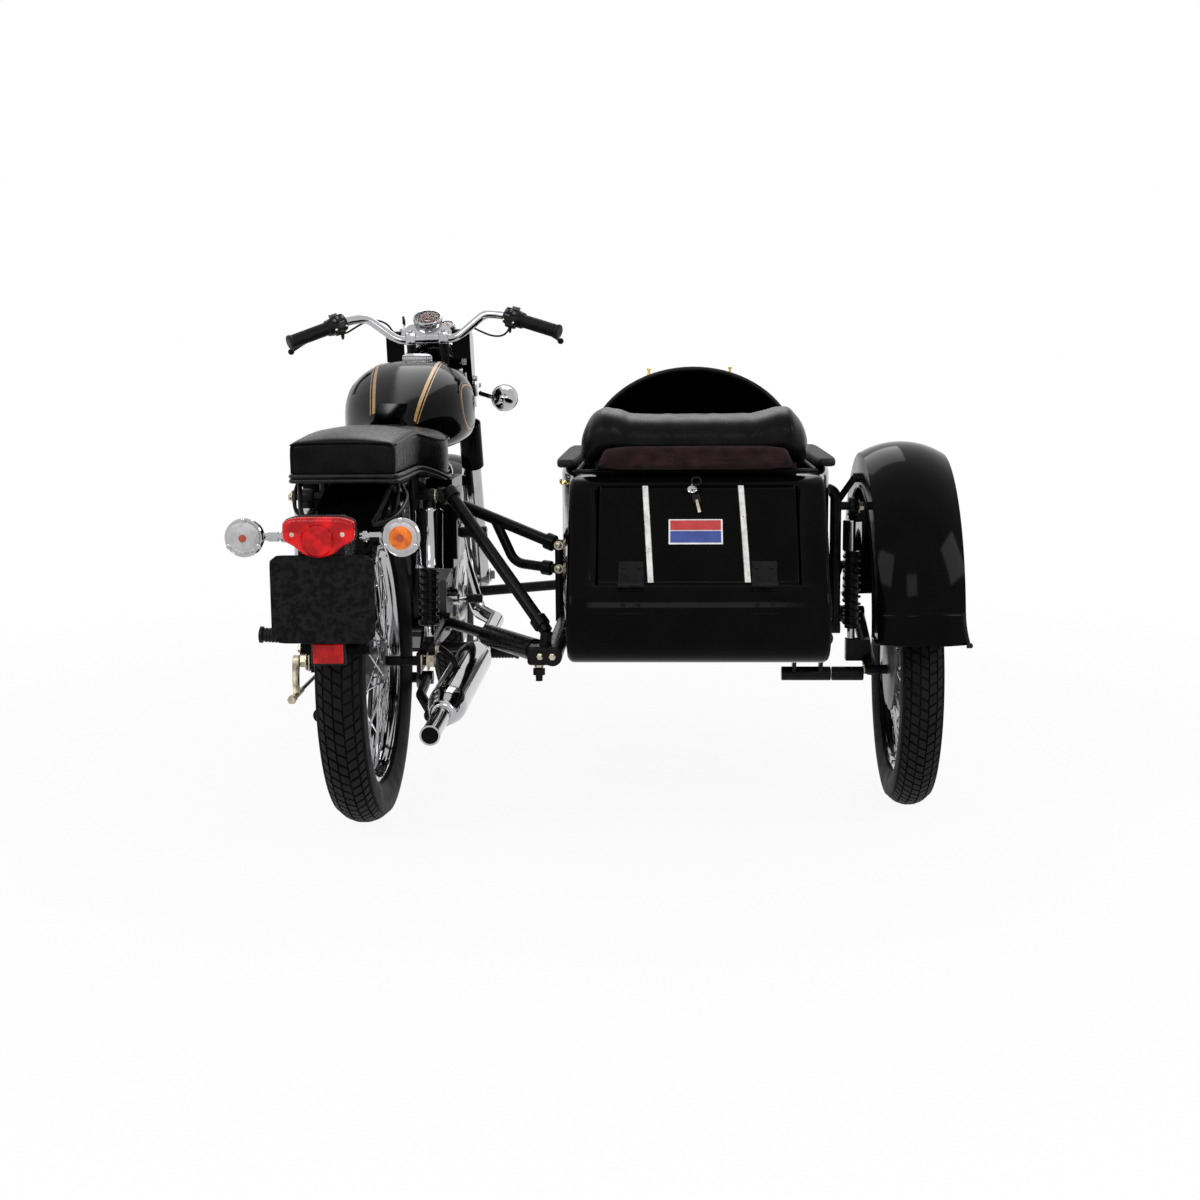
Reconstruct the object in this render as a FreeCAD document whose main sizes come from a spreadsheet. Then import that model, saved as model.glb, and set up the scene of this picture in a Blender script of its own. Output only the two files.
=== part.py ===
import FreeCAD, Part
import math
import os
import Sketcher

# Driving sizes, in millimetres. The building frame has the machine's centre plane at x = 0, the rear
# axle at y = 0 and the floor at z = 0; +X points to the sidecar, +Y forward and +Z up.
SIZES = {
    # Wheels and tyres
    "wheel_base": 1370,
    "rear_tyre_radius": 330,
    "rear_tyre_width": 98,
    "front_tyre_radius": 325,
    "front_tyre_width": 90,
    "car_tyre_radius": 285,
    "car_tyre_width": 88,
    "big_rim_radius": 241,
    "small_rim_radius": 203,
    "rim_half_width": 29,
    "rim_sheet": 4,
    "rim_flange": 9,
    "rim_well": 9,
    "bead_fit": 0.3,
    "spoke_radius": 2,
    "spoke_sink": 2,
    "spoke_splay": 7,
    "hub_barrel_radius": 26,
    "hub_flange_radius": 44,
    "hub_flange": 5,
    "hub_half_width": 40,
    "drum_radius": 88,
    "drum_depth": 32,
    "bore_radius": 10.3,
    "axle_radius": 10,
    # Steering
    "axle_offset": 60,
    "fork_spread": 88,
    "fork_slider_radius": 22,
    "fork_slider_length": 400,
    "fork_tube_radius": 17,
    "fork_top_along": 640,
    "shroud_radius": 30,
    "shroud_wall": 3,
    "shroud_low_along": 366,
    "stem_radius": 14,
    "stem_fit": 0.3,
    "head_low_along": 522,
    "head_length": 140,
    "head_radius": 28,
    "yoke_height": 22,
    "yoke_gap": 3,
    "casing_half": 108,
    "casing_wall": 3,
    # Handlebar
    "bar_radius": 11,
    "bar_bend": 26,
    "riser_reach": 42,
    "riser_ahead": 26,
    "riser_back": 38.6,
    "riser_height": 71.3,
    "riser_radius": 12,
    "bar_low_reach": 75,
    "bar_rise_reach": 152,
    "bar_rise": 60,
    "bar_rise_back": 4,
    "bar_grip_reach": 200,
    "bar_grip_rise": 54,
    "bar_grip_back": 16,
    "bar_end_reach": 334,
    "bar_end_drop": 48,
    "bar_end_back": 78,
    "grip_radius": 17,
    "grip_fit": 0.3,
    "grip_overrun": 6,
    "switch_length": 47,
    "switch_radius": 22,
    "switch_clear": 3,
    "lever_radius": 5,
    "lever_length": 120,
    "lever_drop": 14,
    "lever_ahead": 52,
    "perch_radius": 9,
    "perch_reach": 34,
    # Bicycle frame
    "frame_tube_radius": 16,
    "backbone_radius": 22,
    "backbone_rear": 420,
    "backbone_rear_height": 722,
    "backbone_head_height": 822,
    "pivot_forward": 385,
    "pivot_height": 350,
    "seat_rail_reach": 92,
    "seat_rail_radius": 11,
    "seat_rail_rear": 140,
    "swing_arm_reach": 109,
    "swing_arm_radius": 15,
    # Seat
    "seat_low": 722,
    "seat_rear": 212,
    "seat_rear_half": 100,
    "seat_rear_height": 78,
    "seat_step": 70,
    "seat_front": 350,
    "seat_front_half": 145,
    "seat_skirt": 34,
    # Fuel tank
    "tank_rear": 335,
    "tank_length": 545,
    "tank_half_width": 150,
    "tank_low": 732,
    "tank_height": 206,
    "cap_share": 0.833,
    "cap_radius": 36,
    "cap_height": 21,
    "tunnel_half_width": 34,
    "tunnel_height": 112,
    # Rear mudguard, plate and lamps
    "rear_guard_radius": 372,
    "rear_guard_height": 338,
    "rear_guard_half_width": 61,
    "rear_guard_skirt": 42,
    "guard_sheet": 2,
    "plate_half_width": 94,
    "plate_low": 440,
    "plate_height": 160,
    "plate_back": 430,
    # Engine
    "engine_half_width": 78,
    "crank_forward": 690,
    "crank_height": 395,
    "cylinder_forward": 700,
    "cylinder_low": 500,
    "cylinder_height": 130,
    "cylinder_radius": 46,
    "fin_reach": 72,
    "fin_thickness": 3,
    "fin_pitch": 11,
    "head_block_height": 78,
    "gearbox_forward": 470,
    # Exhaust
    "pipe_radius": 19,
    "pipe_bend": 60,
    "silencer_radius": 39,
    "tail_pipe_radius": 18,
    # Sidecar body
    "car_centre": 675,
    "car_tail_half": 246,
    "car_mid_half": 286,
    "car_wall": 4,
    "car_deck": 716,
    "car_floor": 385,
    "car_scuttle": 650,
    "car_nose": 1330,
    "cowl_half": 245,
    "cowl_rise": 198,
    "lid_half": 189,
    "lid_gap": 5,
    "cockpit_half": 240,
    "cockpit_rear": 0,
    # Sidecar wheel side
    "car_wheel_forward": 147,
    "car_wheel_clear": 16,
    "car_guard_inset": 17,
    "car_guard_radius": 366,
    "car_guard_height": 401,
    "car_guard_half_width": 84,
    "car_guard_skirt": 70,
    # Sidecar chassis
    "car_tube_radius": 19,
    "car_rail_left_inset": 3,
    "car_rail_right_inset": 21,
    "car_tower_radius": 12,
    "car_tower_gap": 34,
    "car_tower_forward": 200,
    "car_damper_radius": 21,
    "car_damper_clear": 3,
    "car_damper_top": 628,
    "car_arm_radius": 14,
    "car_arm_clear": 1,
    "car_arm_forward": 400,
    "eye_bolt_radius": 7,
    "eye_bolt_nut": 12,
    "eye_bolt_drop": 36,
    # Foot controls
    "pedal_radius": 6,
    "peg_radius": 14,
    "peg_height": 250,
    "peg_forward": 560,
    "peg_reach": 262,
    "stay_radius": 4,
    }

HEAD_ANGLE = 62.5
STEER_REST = 4.0


class Size:
    """A value that carries the sheet expression it comes from."""

    def __init__(self, value, text):
        self.value = float(value)
        self.text = text

    def __float__(self):
        return self.value

    def __add__(self, other):
        return joined(self, other, "+", self.value + float(other))

    def __radd__(self, other):
        return joined(other, self, "+", float(other) + self.value)

    def __sub__(self, other):
        return joined(self, other, "-", self.value - float(other))

    def __rsub__(self, other):
        return joined(other, self, "-", float(other) - self.value)

    def __mul__(self, other):
        return joined(self, other, "*", self.value * float(other))

    def __rmul__(self, other):
        return joined(other, self, "*", float(other) * self.value)

    def __truediv__(self, other):
        return joined(self, other, "/", self.value / float(other))

    def __neg__(self):
        return Size(-self.value, "(-1 * %s)" % self.text)


def text_of(value):
    """The sheet expression of a size, or the plain number."""
    return value.text if isinstance(value, Size) else repr(float(value))


def joined(left, right, sign, value):
    """The size that two others give."""
    return Size(value, "(%s %s %s)" % (text_of(left), sign, text_of(right)))


class Names:
    """Every driving size as an attribute."""


doc = FreeCAD.newDocument("outfit")
sheet = doc.addObject("Spreadsheet::Sheet", "sizes")
d = Names()
for row, (name, value) in enumerate(SIZES.items(), start=1):
    sheet.set("A%d" % row, name)
    sheet.set("B%d" % row, str(value))
    sheet.setAlias("B%d" % row, name)
    setattr(d, name, Size(value, "sizes.%s" % name))
doc.recompute()

PIECES = []
BODY_OF = {}


def vector(x, y, z):
    """A point or direction from sizes or numbers."""
    return FreeCAD.Vector(float(x), float(y), float(z))


def turn(axis, degrees):
    """A rotation about an axis."""
    return FreeCAD.Rotation(axis, degrees)


AXIS_X = vector(1, 0, 0)
AXIS_Y = vector(0, 1, 0)
AXIS_Z = vector(0, 0, 1)
NO_TURN = FreeCAD.Rotation()
ORIGIN = vector(0, 0, 0)


def place(piece, at, rotation=NO_TURN):
    """Set where a piece stands."""
    piece.Placement = FreeCAD.Placement(at, rotation)
    return piece


def keep(piece, label, body):
    """Name a finished piece and the moving body that it belongs to."""
    piece.Label = label
    PIECES.append(piece)
    BODY_OF[label] = body
    return piece


def bind(piece, prop, value):
    """Set a property and tie it to the sheet."""
    setattr(piece, prop, float(value))
    if isinstance(value, Size):
        piece.setExpression(prop, value.text)


def new_sketch(body, role, lift=0.0):
    """A sketch on one of the body's own origin planes, lifted along its normal."""
    sketch = body.newObject("Sketcher::SketchObject", "outline")
    plane = [item for item in body.Origin.OriginFeatures if item.Role == role][0]
    sketch.AttachmentSupport = [(plane, "")]
    sketch.MapMode = "FlatFace"
    sketch.AttachmentOffset = FreeCAD.Placement(vector(0, 0, lift), NO_TURN)
    if isinstance(lift, Size):
        sketch.setExpression("AttachmentOffset.Base.z", lift.text)
    return sketch


def draw(sketch, points):
    """Close an outline. A point (x, y, mid x, mid y) ends an arc through its mid point."""
    corners = [vector(point[0], point[1], 0) for point in points]
    ends = []
    for place_in, point in enumerate(points):
        start = corners[place_in - 1]
        end = corners[place_in]
        if len(point) == 4:
            edge = Part.Arc(start, vector(point[2], point[3], 0), end)
        else:
            edge = Part.LineSegment(start, end)
        number = sketch.addGeometry(edge)
        forward = sketch.getPoint(number, 2).distanceToPoint(end) < sketch.getPoint(number, 1).distanceToPoint(end)
        ends.append((number, 1, 2) if forward else (number, 2, 1))
    rules = []
    ties = []
    base = sketch.ConstraintCount
    for place_in, point in enumerate(points):
        number, _, last = ends[place_in]
        after, first, _ = ends[(place_in + 1) % len(points)]
        rules.append(Sketcher.Constraint("Coincident", number, last, after, first))
        for kind, value in (("DistanceX", point[0]), ("DistanceY", point[1])):
            if isinstance(value, Size):
                ties.append((base + len(rules), value.text))
            rules.append(Sketcher.Constraint(kind, -1, 1, number, last, float(value)))
    sketch.addConstraint(rules)
    for number, text in ties:
        sketch.setExpression("Constraints[%d]" % number, text)
    return sketch


def circle(sketch, x, y, radius):
    """A circle whose place and radius follow the sheet."""
    number = sketch.addGeometry(Part.Circle(vector(x, y, 0), AXIS_Z, float(radius)))
    rules = [("Radius", radius, Sketcher.Constraint("Radius", number, float(radius)))]
    rules.append(("X", x, Sketcher.Constraint("DistanceX", -1, 1, number, 3, float(x))))
    rules.append(("Y", y, Sketcher.Constraint("DistanceY", -1, 1, number, 3, float(y))))
    for _, value, rule in rules:
        index = sketch.addConstraint(rule)
        if isinstance(value, Size):
            sketch.setExpression("Constraints[%d]" % index, value.text)
    return sketch


def new_body(name):
    """An empty body."""
    return doc.addObject("PartDesign::Body", name)


def pad(body, sketch, length, both=False, back=False):
    """Raise an outline along its normal."""
    feature = body.newObject("PartDesign::Pad", "pad")
    feature.Profile = sketch
    feature.SideType = "Symmetric" if both else "One side"
    feature.Reversed = back
    bind(feature, "Length", length)
    return feature


def pocket(body, sketch, length, both=False, back=False):
    """Cut an outline out of the body."""
    feature = body.newObject("PartDesign::Pocket", "pocket")
    feature.Profile = sketch
    feature.SideType = "Symmetric" if both else "One side"
    feature.Reversed = back
    bind(feature, "Length", length)
    return feature


def revolve(body, sketch, axis="H_Axis", angle=360.0):
    """Turn an outline about one of its sketch's axes."""
    feature = body.newObject("PartDesign::Revolution", "revolve")
    feature.Profile = sketch
    feature.ReferenceAxis = (sketch, [axis])
    feature.Angle = angle
    return feature


def turned(name, points, angle=360.0):
    """A body turned about its own X axis from an outline of (along, radius) points."""
    body = new_body(name)
    revolve(body, draw(new_sketch(body, "XY_Plane"), points), "H_Axis", angle)
    return body


def plate(name, role, points, thickness, lift=0.0, both=False):
    """A body raised from one closed outline."""
    body = new_body(name)
    pad(body, draw(new_sketch(body, role, lift), points), thickness, both)
    return body


def rod(name, start, end, radius, bore=None):
    """A straight round bar or tube between two points."""
    bar = doc.addObject("Part::Cylinder", name)
    along = end - start
    bind(bar, "Radius", radius)
    bar.Height = along.Length
    aim = FreeCAD.Placement(start, FreeCAD.Rotation(AXIS_Z, along))
    if bore is None:
        bar.Placement = aim
        return bar
    hole = doc.addObject("Part::Cylinder", name + "_bore")
    bind(hole, "Radius", bore)
    hole.Height = along.Length
    tube = cut(name + "_tube", bar, hole)
    tube.Placement = aim
    return tube


def cut(name, base, tool):
    """One shape less another."""
    result = doc.addObject("Part::Cut", name)
    result.Base = base
    result.Tool = tool
    return result


def common(name, base, tool):
    """What two shapes share."""
    result = doc.addObject("Part::Common", name)
    result.Base = base
    result.Tool = tool
    return result


def fuse(name, shapes):
    """Several shapes joined as one piece."""
    result = doc.addObject("Part::MultiFuse", name)
    result.Shapes = shapes
    return result


def trimmed(name, piece, neighbours):
    """A piece cut back to the faces of what it meets."""
    for number, neighbour in enumerate(neighbours):
        piece = cut("%s_%d" % (name, number), piece, neighbour)
    return piece


def group(name, shapes):
    """Like solids that don't touch, kept as one piece."""
    result = doc.addObject("Part::Compound", name)
    result.Links = shapes
    return result


def bent_path(points, radius):
    """A wire of straight runs joined by tangent arcs."""
    edges = []
    start = points[0]
    for before, corner, after in zip(points, points[1:], points[2:]):
        back = (before - corner).normalize()
        ahead = (after - corner).normalize()
        half = back.getAngle(ahead) / 2
        reach = radius / math.tan(half)
        middle = corner + (back + ahead).normalize() * (radius / math.sin(half) - radius)
        enter = corner + back * reach
        leave = corner + ahead * reach
        edges.append(Part.LineSegment(start, enter).toShape())
        edges.append(Part.Arc(enter, middle, leave).toShape())
        start = leave
    edges.append(Part.LineSegment(start, points[-1]).toShape())
    return Part.Wire(edges)


def bent_tube(name, points, radius, bend):
    """A round bar swept along straight runs and arcs."""
    spine = doc.addObject("Part::Feature", name + "_path")
    spine.Shape = bent_path(points, float(bend))
    section = doc.addObject("Part::Circle", name + "_section")
    bind(section, "Radius", radius)
    section.Placement = FreeCAD.Placement(points[0], FreeCAD.Rotation(AXIS_Z, points[1] - points[0]))
    sweep = doc.addObject("Part::Sweep", name)
    sweep.Sections = [section]
    sweep.Spine = (spine, ["Edge%d" % (number + 1) for number in range(len(spine.Shape.Edges))])
    sweep.Solid = True
    sweep.Frenet = True
    sweep.Transition = "Right corner"
    return sweep


def mirrored(name, piece):
    """The same piece on the other side of the machine's centre plane."""
    other = doc.addObject("Part::Mirroring", name)
    other.Source = piece
    other.Normal = AXIS_X
    return other


def box(name, low, high):
    """A block between two corners."""
    block = doc.addObject("Part::Box", name)
    span = high - low
    block.Length, block.Width, block.Height = span.x, span.y, span.z
    block.Placement = FreeCAD.Placement(low, NO_TURN)
    return block


# Steering geometry: the axis leans back by the head angle, and the wheel axle lies ahead of it.
lean = math.radians(HEAD_ANGLE)
UP_FORK = vector(0, -math.cos(lean), math.sin(lean))
AHEAD_FORK = vector(0, math.sin(lean), math.cos(lean))
FORK_TURN = turn(AXIS_X, 90 - HEAD_ANGLE)
car_rail_left = d.car_centre - d.car_mid_half + d.car_rail_left_inset
car_rail_right = d.car_centre + d.car_mid_half - d.car_rail_right_inset
car_tower_reach = car_rail_right + d.car_tower_gap
car_damper_reach = car_tower_reach + d.car_tower_radius + d.car_damper_radius + d.car_damper_clear
car_arm_reach = car_damper_reach + d.car_damper_radius + d.car_arm_radius + d.car_arm_clear
car_wheel_reach = car_arm_reach + d.car_arm_radius + d.car_tyre_width / 2 + d.car_wheel_clear
car_guard_centre = car_wheel_reach - d.car_guard_inset
FRONT_AXLE = vector(0, d.wheel_base, d.front_tyre_radius)
STEER_FOOT = FRONT_AXLE - AHEAD_FORK * float(d.axle_offset)
REAR_AXLE = vector(0, 0, d.rear_tyre_radius)
CAR_AXLE = vector(car_wheel_reach, d.car_wheel_forward, d.car_tyre_radius)


def on_steer_axis(along, ahead=0.0, aside=0.0):
    """A point of the steering assembly, measured up the steering axis, ahead of it and aside."""
    return STEER_FOOT + UP_FORK * float(along) + AHEAD_FORK * float(ahead) + AXIS_X * float(aside)


# Wheels
def tyre(label, radius, width, bead_radius, centre, body):
    """A road tyre, revolved: bead, sidewalls and a crowned tread."""
    half = width / 2
    bead = d.rim_half_width - d.rim_sheet - d.bead_fit
    lip = bead_radius + d.rim_flange + d.bead_fit
    shoulder = width * 0.36
    edge = radius - (radius - bead_radius) * 0.17
    middle = bead_radius + (radius - bead_radius) * 0.52
    base = bead_radius + d.bead_fit
    points = [
        (-bead, base),
        (-bead, lip),
        (-shoulder, edge, -half, middle),
        (shoulder, edge, 0, radius),
        (bead, lip, half, middle),
        (bead, base),
    ]
    piece = turned(label, points)
    place(piece, centre)
    return keep(piece, label, body)


def rim(name, bead_radius):
    """A rim with two flanges and a raised well."""
    half = d.rim_half_width
    seat = half - d.rim_sheet
    top = bead_radius + d.rim_flange
    low = bead_radius - d.rim_sheet
    well = low - d.rim_well
    points = [
        (-half, top),
        (-seat, top),
        (-seat, bead_radius),
        (seat, bead_radius),
        (seat, top),
        (half, top),
        (half, low),
        (half * 0.55, low),
        (half * 0.4, well),
        (-half * 0.4, well),
        (-half * 0.55, low),
        (-half, low),
    ]
    return turned(name, points)


def hub(name, drum_side):
    """A hub barrel with a brake drum on one side and a spoke flange on the other."""
    side = drum_side
    half = d.hub_half_width
    barrel = d.hub_barrel_radius
    points = [
        (half * -side, d.bore_radius),
        (half * -side, barrel * 0.8),
        ((half - d.hub_flange) * -side, barrel * 0.8),
        ((half - d.hub_flange) * -side, d.hub_flange_radius),
        ((half - d.hub_flange * 2) * -side, d.hub_flange_radius),
        ((half - d.hub_flange * 2) * -side, barrel),
        ((half - d.drum_depth) * side, barrel),
        ((half - d.drum_depth) * side, d.drum_radius),
        (half * side, d.drum_radius),
        (half * side, d.drum_radius * 0.9),
        ((half - d.hub_flange) * side, d.drum_radius * 0.9),
        ((half - d.hub_flange) * side, d.bore_radius),
    ]
    return turned(name, points)


def spokes(name, bead_radius, drum_side, count=36):
    """Crossed wire spokes from the hub's flanges to the rim's well."""
    wires = []
    rim_reach = float(bead_radius - d.rim_sheet - d.rim_well + d.spoke_sink)
    half = float(d.hub_half_width)
    for number in range(count):
        on_drum = number % 2 == 0
        crossing = 1 if number % 4 < 2 else -1
        root = float(d.drum_radius if on_drum else d.hub_flange_radius) - float(d.spoke_sink)
        inset = float(d.drum_depth) / 2 if on_drum else float(d.hub_flange) * 1.5
        aside = (half - inset) * (drum_side if on_drum else -drum_side)
        splay = float(d.spoke_radius) * 1.25 * crossing
        angle = 2 * math.pi * number / count
        trail = angle + crossing * (0.35 if on_drum else 1.0)
        foot = vector(aside + splay, root * math.cos(trail), root * math.sin(trail))
        tip_aside = float(d.spoke_splay) * (drum_side if on_drum else -drum_side)
        tip = vector(tip_aside + splay, rim_reach * math.cos(angle), rim_reach * math.sin(angle))
        wires.append(rod("%s_%d" % (name, number), foot, tip, d.spoke_radius))
    return wires


def wheel(label, bead_radius, drum_side, centre, body):
    """A spoked wheel without its tyre."""
    shapes = [rim(label + "_rim", bead_radius), hub(label + "_hub", drum_side)]
    shapes += spokes(label + "_spoke", bead_radius, drum_side)
    piece = fuse(label, shapes)
    place(piece, centre)
    return keep(piece, label, body)


tyre("rear_tyre", d.rear_tyre_radius, d.rear_tyre_width, d.big_rim_radius, REAR_AXLE, "rear_wheel")
wheel("rear_spoked_wheel", d.big_rim_radius, -1, REAR_AXLE, "rear_wheel")
tyre("front_tyre", d.front_tyre_radius, d.front_tyre_width, d.big_rim_radius, FRONT_AXLE, "front_wheel")
wheel("front_spoked_wheel", d.big_rim_radius, -1, FRONT_AXLE, "front_wheel")
tyre("sidecar_tyre", d.car_tyre_radius, d.car_tyre_width, d.small_rim_radius, CAR_AXLE, "sidecar_wheel")
wheel("sidecar_spoked_wheel", d.small_rim_radius, -1, CAR_AXLE, "sidecar_wheel")

# Bicycle frame
rail_height = float(d.seat_low - d.seat_rail_radius - d.bead_fit)
backbone_head = on_steer_axis(d.head_low_along + d.head_length * 0.5)
backbone_end = vector(0, d.backbone_rear, d.backbone_rear_height)
HEAD_LOW = on_steer_axis(d.head_low_along)
HEAD_TOP = on_steer_axis(d.head_low_along + d.head_length)
PIVOT = vector(0, d.pivot_forward, d.pivot_height)
head_tube = rod("head_tube", HEAD_LOW, HEAD_TOP, d.head_radius)
backbone_bar = rod("backbone_bar", backbone_end, backbone_head, d.backbone_radius)
head_bore = rod("head_bore", HEAD_LOW, HEAD_TOP, d.stem_radius + d.stem_fit)
backbone = cut("backbone", fuse("backbone_joined", [head_tube, backbone_bar]), head_bore)
keep(backbone, "backbone_tube", "chassis")

engine_front = vector(0, d.crank_forward + 148, d.crank_height - 30)
down_start = on_steer_axis(d.head_low_along + d.head_length * 0.2, -float(d.head_radius) + 4)
down_bar = rod("down_bar", down_start, engine_front, d.frame_tube_radius)
down_lug = box("down_lug", vector(-6, 838, 318), vector(6, 912, 362))

seat_tube_low = vector(0, d.pivot_forward, d.pivot_height)
seat_tube_top = backbone_end - vector(0, 6, float(d.backbone_radius) + 0.3)
seat_tube = rod("seat_tube_bar", seat_tube_low, seat_tube_top, d.frame_tube_radius)
pivot_boss = rod("pivot_boss", PIVOT - AXIS_X * 82, PIVOT + AXIS_X * 82, d.swing_arm_radius * 1.5)
keep(fuse("seat_post", [seat_tube, pivot_boss]), "seat_tube", "chassis")


def seat_rail(name):
    """One seat rail with the stay that carries the damper's top."""
    reach = d.seat_rail_reach
    rail_points = [
        vector(d.backbone_radius + d.seat_rail_radius, d.backbone_rear - 20, rail_height),
        vector(reach, d.backbone_rear - 130, rail_height),
        vector(reach, -d.seat_rail_rear, rail_height),
    ]
    rail = bent_tube(name + "_rail", rail_points, d.seat_rail_radius, 60)
    stay = rod(name + "_stay", vector(48, d.pivot_forward - 13.5, d.pivot_height + 20.4),
               vector(reach, 78, rail_height), d.seat_rail_radius)
    peg = rod(name + "_peg", vector(reach, 62, 664), vector(reach + 71, 62, 664), 8)
    ear = rod(name + "_ear", vector(reach, 62, 660), vector(reach, 62, rail_height), 9)
    return fuse(name, [rail, stay, peg, ear])


rail_right = seat_rail("rail_right")
bridge = box("rail_bridge", vector(-d.seat_rail_reach, -36, rail_height - 0.4),
             vector(d.seat_rail_reach, -6, rail_height + 5))
rail_left = mirrored("rail_left", rail_right)
keep(fuse("seat_rail_pair", [rail_right, rail_left, bridge]), "seat_rails", "chassis")


def swing_arm(name):
    """One arm of the rear fork, with its flat axle end."""
    reach = d.swing_arm_reach
    arm = rod(name + "_bar", vector(d.swing_arm_reach * 0.94, d.pivot_forward, d.pivot_height),
              vector(reach, 34, d.rear_tyre_radius), d.swing_arm_radius)
    end = box(name + "_end", vector(reach - 4, -26, d.rear_tyre_radius - 20),
              vector(reach + 4, 60, d.rear_tyre_radius + 20))
    lug = rod(name + "_lug", vector(reach, 16, 352), vector(reach + 26, 16, 352), 7)
    return fuse(name, [arm, end, lug])


arm_right = swing_arm("arm_right")
arm_cross = rod("arm_cross", PIVOT - AXIS_X * 122, PIVOT + AXIS_X * 122, d.swing_arm_radius)
arm_axle = rod("arm_axle", REAR_AXLE - AXIS_X * 124, REAR_AXLE + AXIS_X * 124, d.axle_radius)
brake_pin = rod("brake_pin", REAR_AXLE - AXIS_X * 112, REAR_AXLE - AXIS_X * 152, d.axle_radius)
brake_lever_foot = REAR_AXLE + vector(-148, -6, -70)
brake_lever = rod("brake_lever", REAR_AXLE - AXIS_X * 148, brake_lever_foot, d.pedal_radius)
BRAKE_ROD_END = vector(-148, 480, 268)
brake_rod = rod("brake_rod", brake_lever_foot - AXIS_Y * 30, BRAKE_ROD_END, d.stay_radius)
arms = fuse("swing_arms", [arm_right, mirrored("arm_left", arm_right)])
pivot_ends = [rod("pivot_end_right", PIVOT + AXIS_X * 82.3, PIVOT + AXIS_X * 122, d.swing_arm_radius * 1.4)]
pivot_ends.append(mirrored("pivot_end_left", pivot_ends[0]))
brake_plate = rod("brake_plate", REAR_AXLE - AXIS_X * 46, REAR_AXLE - AXIS_X * 52, 80)
rear_fork = keep(fuse("rear_fork", [arms, arm_axle, brake_plate, brake_pin, brake_lever, brake_rod] + pivot_ends),
                 "swing_arm", "chassis")


def damper(name):
    """A spring unit: eyes, chrome cover, spring and rod."""
    reach = float(d.seat_rail_reach) + 34
    top = vector(reach, 62, 664)
    low = vector(reach, 16, 352)
    along = (low - top).normalize()
    parts = [
        rod(name + "_cover", top + along * 26, top + along * 150, 28),
        rod(name + "_spring", top + along * 150, top + along * 268, 21),
        rod(name + "_rod", top + along * 268, low - along * 14, 10),
        rod(name + "_head", top + along * 14, top + along * 26, 18),
    ]
    eyes = []
    for number, centre in enumerate((top, low)):
        eyes.append(rod("%s_eye_%d" % (name, number), centre - AXIS_X * 12, centre + AXIS_X * 12, 16))
    holes = [rod(name + "_hole_top", top - AXIS_X * 14, top + AXIS_X * 14, 8.2),
             rod(name + "_hole_low", low - AXIS_X * 14, low + AXIS_X * 14, 7.2)]
    return cut(name, fuse(name + "_body", parts + eyes), group(name + "_holes", holes))


damper_right = damper("damper_right")
keep(group("damper_pair", [damper_right, mirrored("damper_left", damper_right)]), "rear_dampers", "chassis")

# Engine: one heavy block with its covers, barrel and head
case_points = [
    (418, 310),
    (418, 455),
    (520, 492),
    (618, 500),
    (790, 500),
    (826, 395, 822, 455),
    (770, 290, 812, 330),
    (700, 270),
    (470, 275),
]
crankcase = plate("crankcase_block", "YZ_Plane", case_points, d.engine_half_width * 2, both=True)
chain_room = box("chain_room", vector(-100, 400, 300), vector(-62, 524, 425))
hangers = []
for side in (-1, 1):
    hangers.append(plate("stand_hanger_%d" % (side + 1), "YZ_Plane", [
        (306, 232), (330, 208, 313, 215), (354, 232, 347, 215), (430, 300), (430, 340), (418, 340)], 7,
        lift=side * 56 - 3.5))
hanger_bore = rod("hanger_bore", vector(-62, 330, 232), vector(62, 330, 232), 8.3)
case_whole = cut("crankcase_bored", fuse("crankcase_joined", [crankcase] + hangers), hanger_bore)
front_sprocket = rod("front_sprocket", vector(-60, 468, 360), vector(-77, 468, 360), 27.7)
case_cut = cut("crankcase_cut", case_whole, chain_room)
keep(fuse("crankcase_whole", [case_cut, front_sprocket]), "crankcase", "chassis")
keep(trimmed("down_piece", fuse("down_joined", [down_bar, down_lug]), [head_tube, backbone_bar, crankcase]),
     "down_tube", "chassis")
primary_points = [(424, 315), (424, 455), (470, 478), (700, 505), (812, 395, 780, 475), (700, 285, 780, 315)]
primary = new_body("primary_cover")
pad(primary, draw(new_sketch(primary, "YZ_Plane", -float(d.engine_half_width) - 0.3), primary_points), 46, back=True)
timing_points = [(560, 330), (560, 470), (740, 500), (800, 400, 790, 460), (700, 290, 775, 320), (600, 300)]
timing = new_body("timing_cover")
pad(timing, draw(new_sketch(timing, "YZ_Plane", float(d.engine_half_width) + 0.3), timing_points), 34)
gear_cover_points = [(424, 330), (424, 440), (545, 455), (545, 315)]
gear_cover = new_body("gear_cover")
pad(gear_cover, draw(new_sketch(gear_cover, "YZ_Plane", float(d.engine_half_width) + 0.3), gear_cover_points), 30)
keep(group("cover_set", [primary, timing, gear_cover]), "engine_covers", "chassis")


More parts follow.
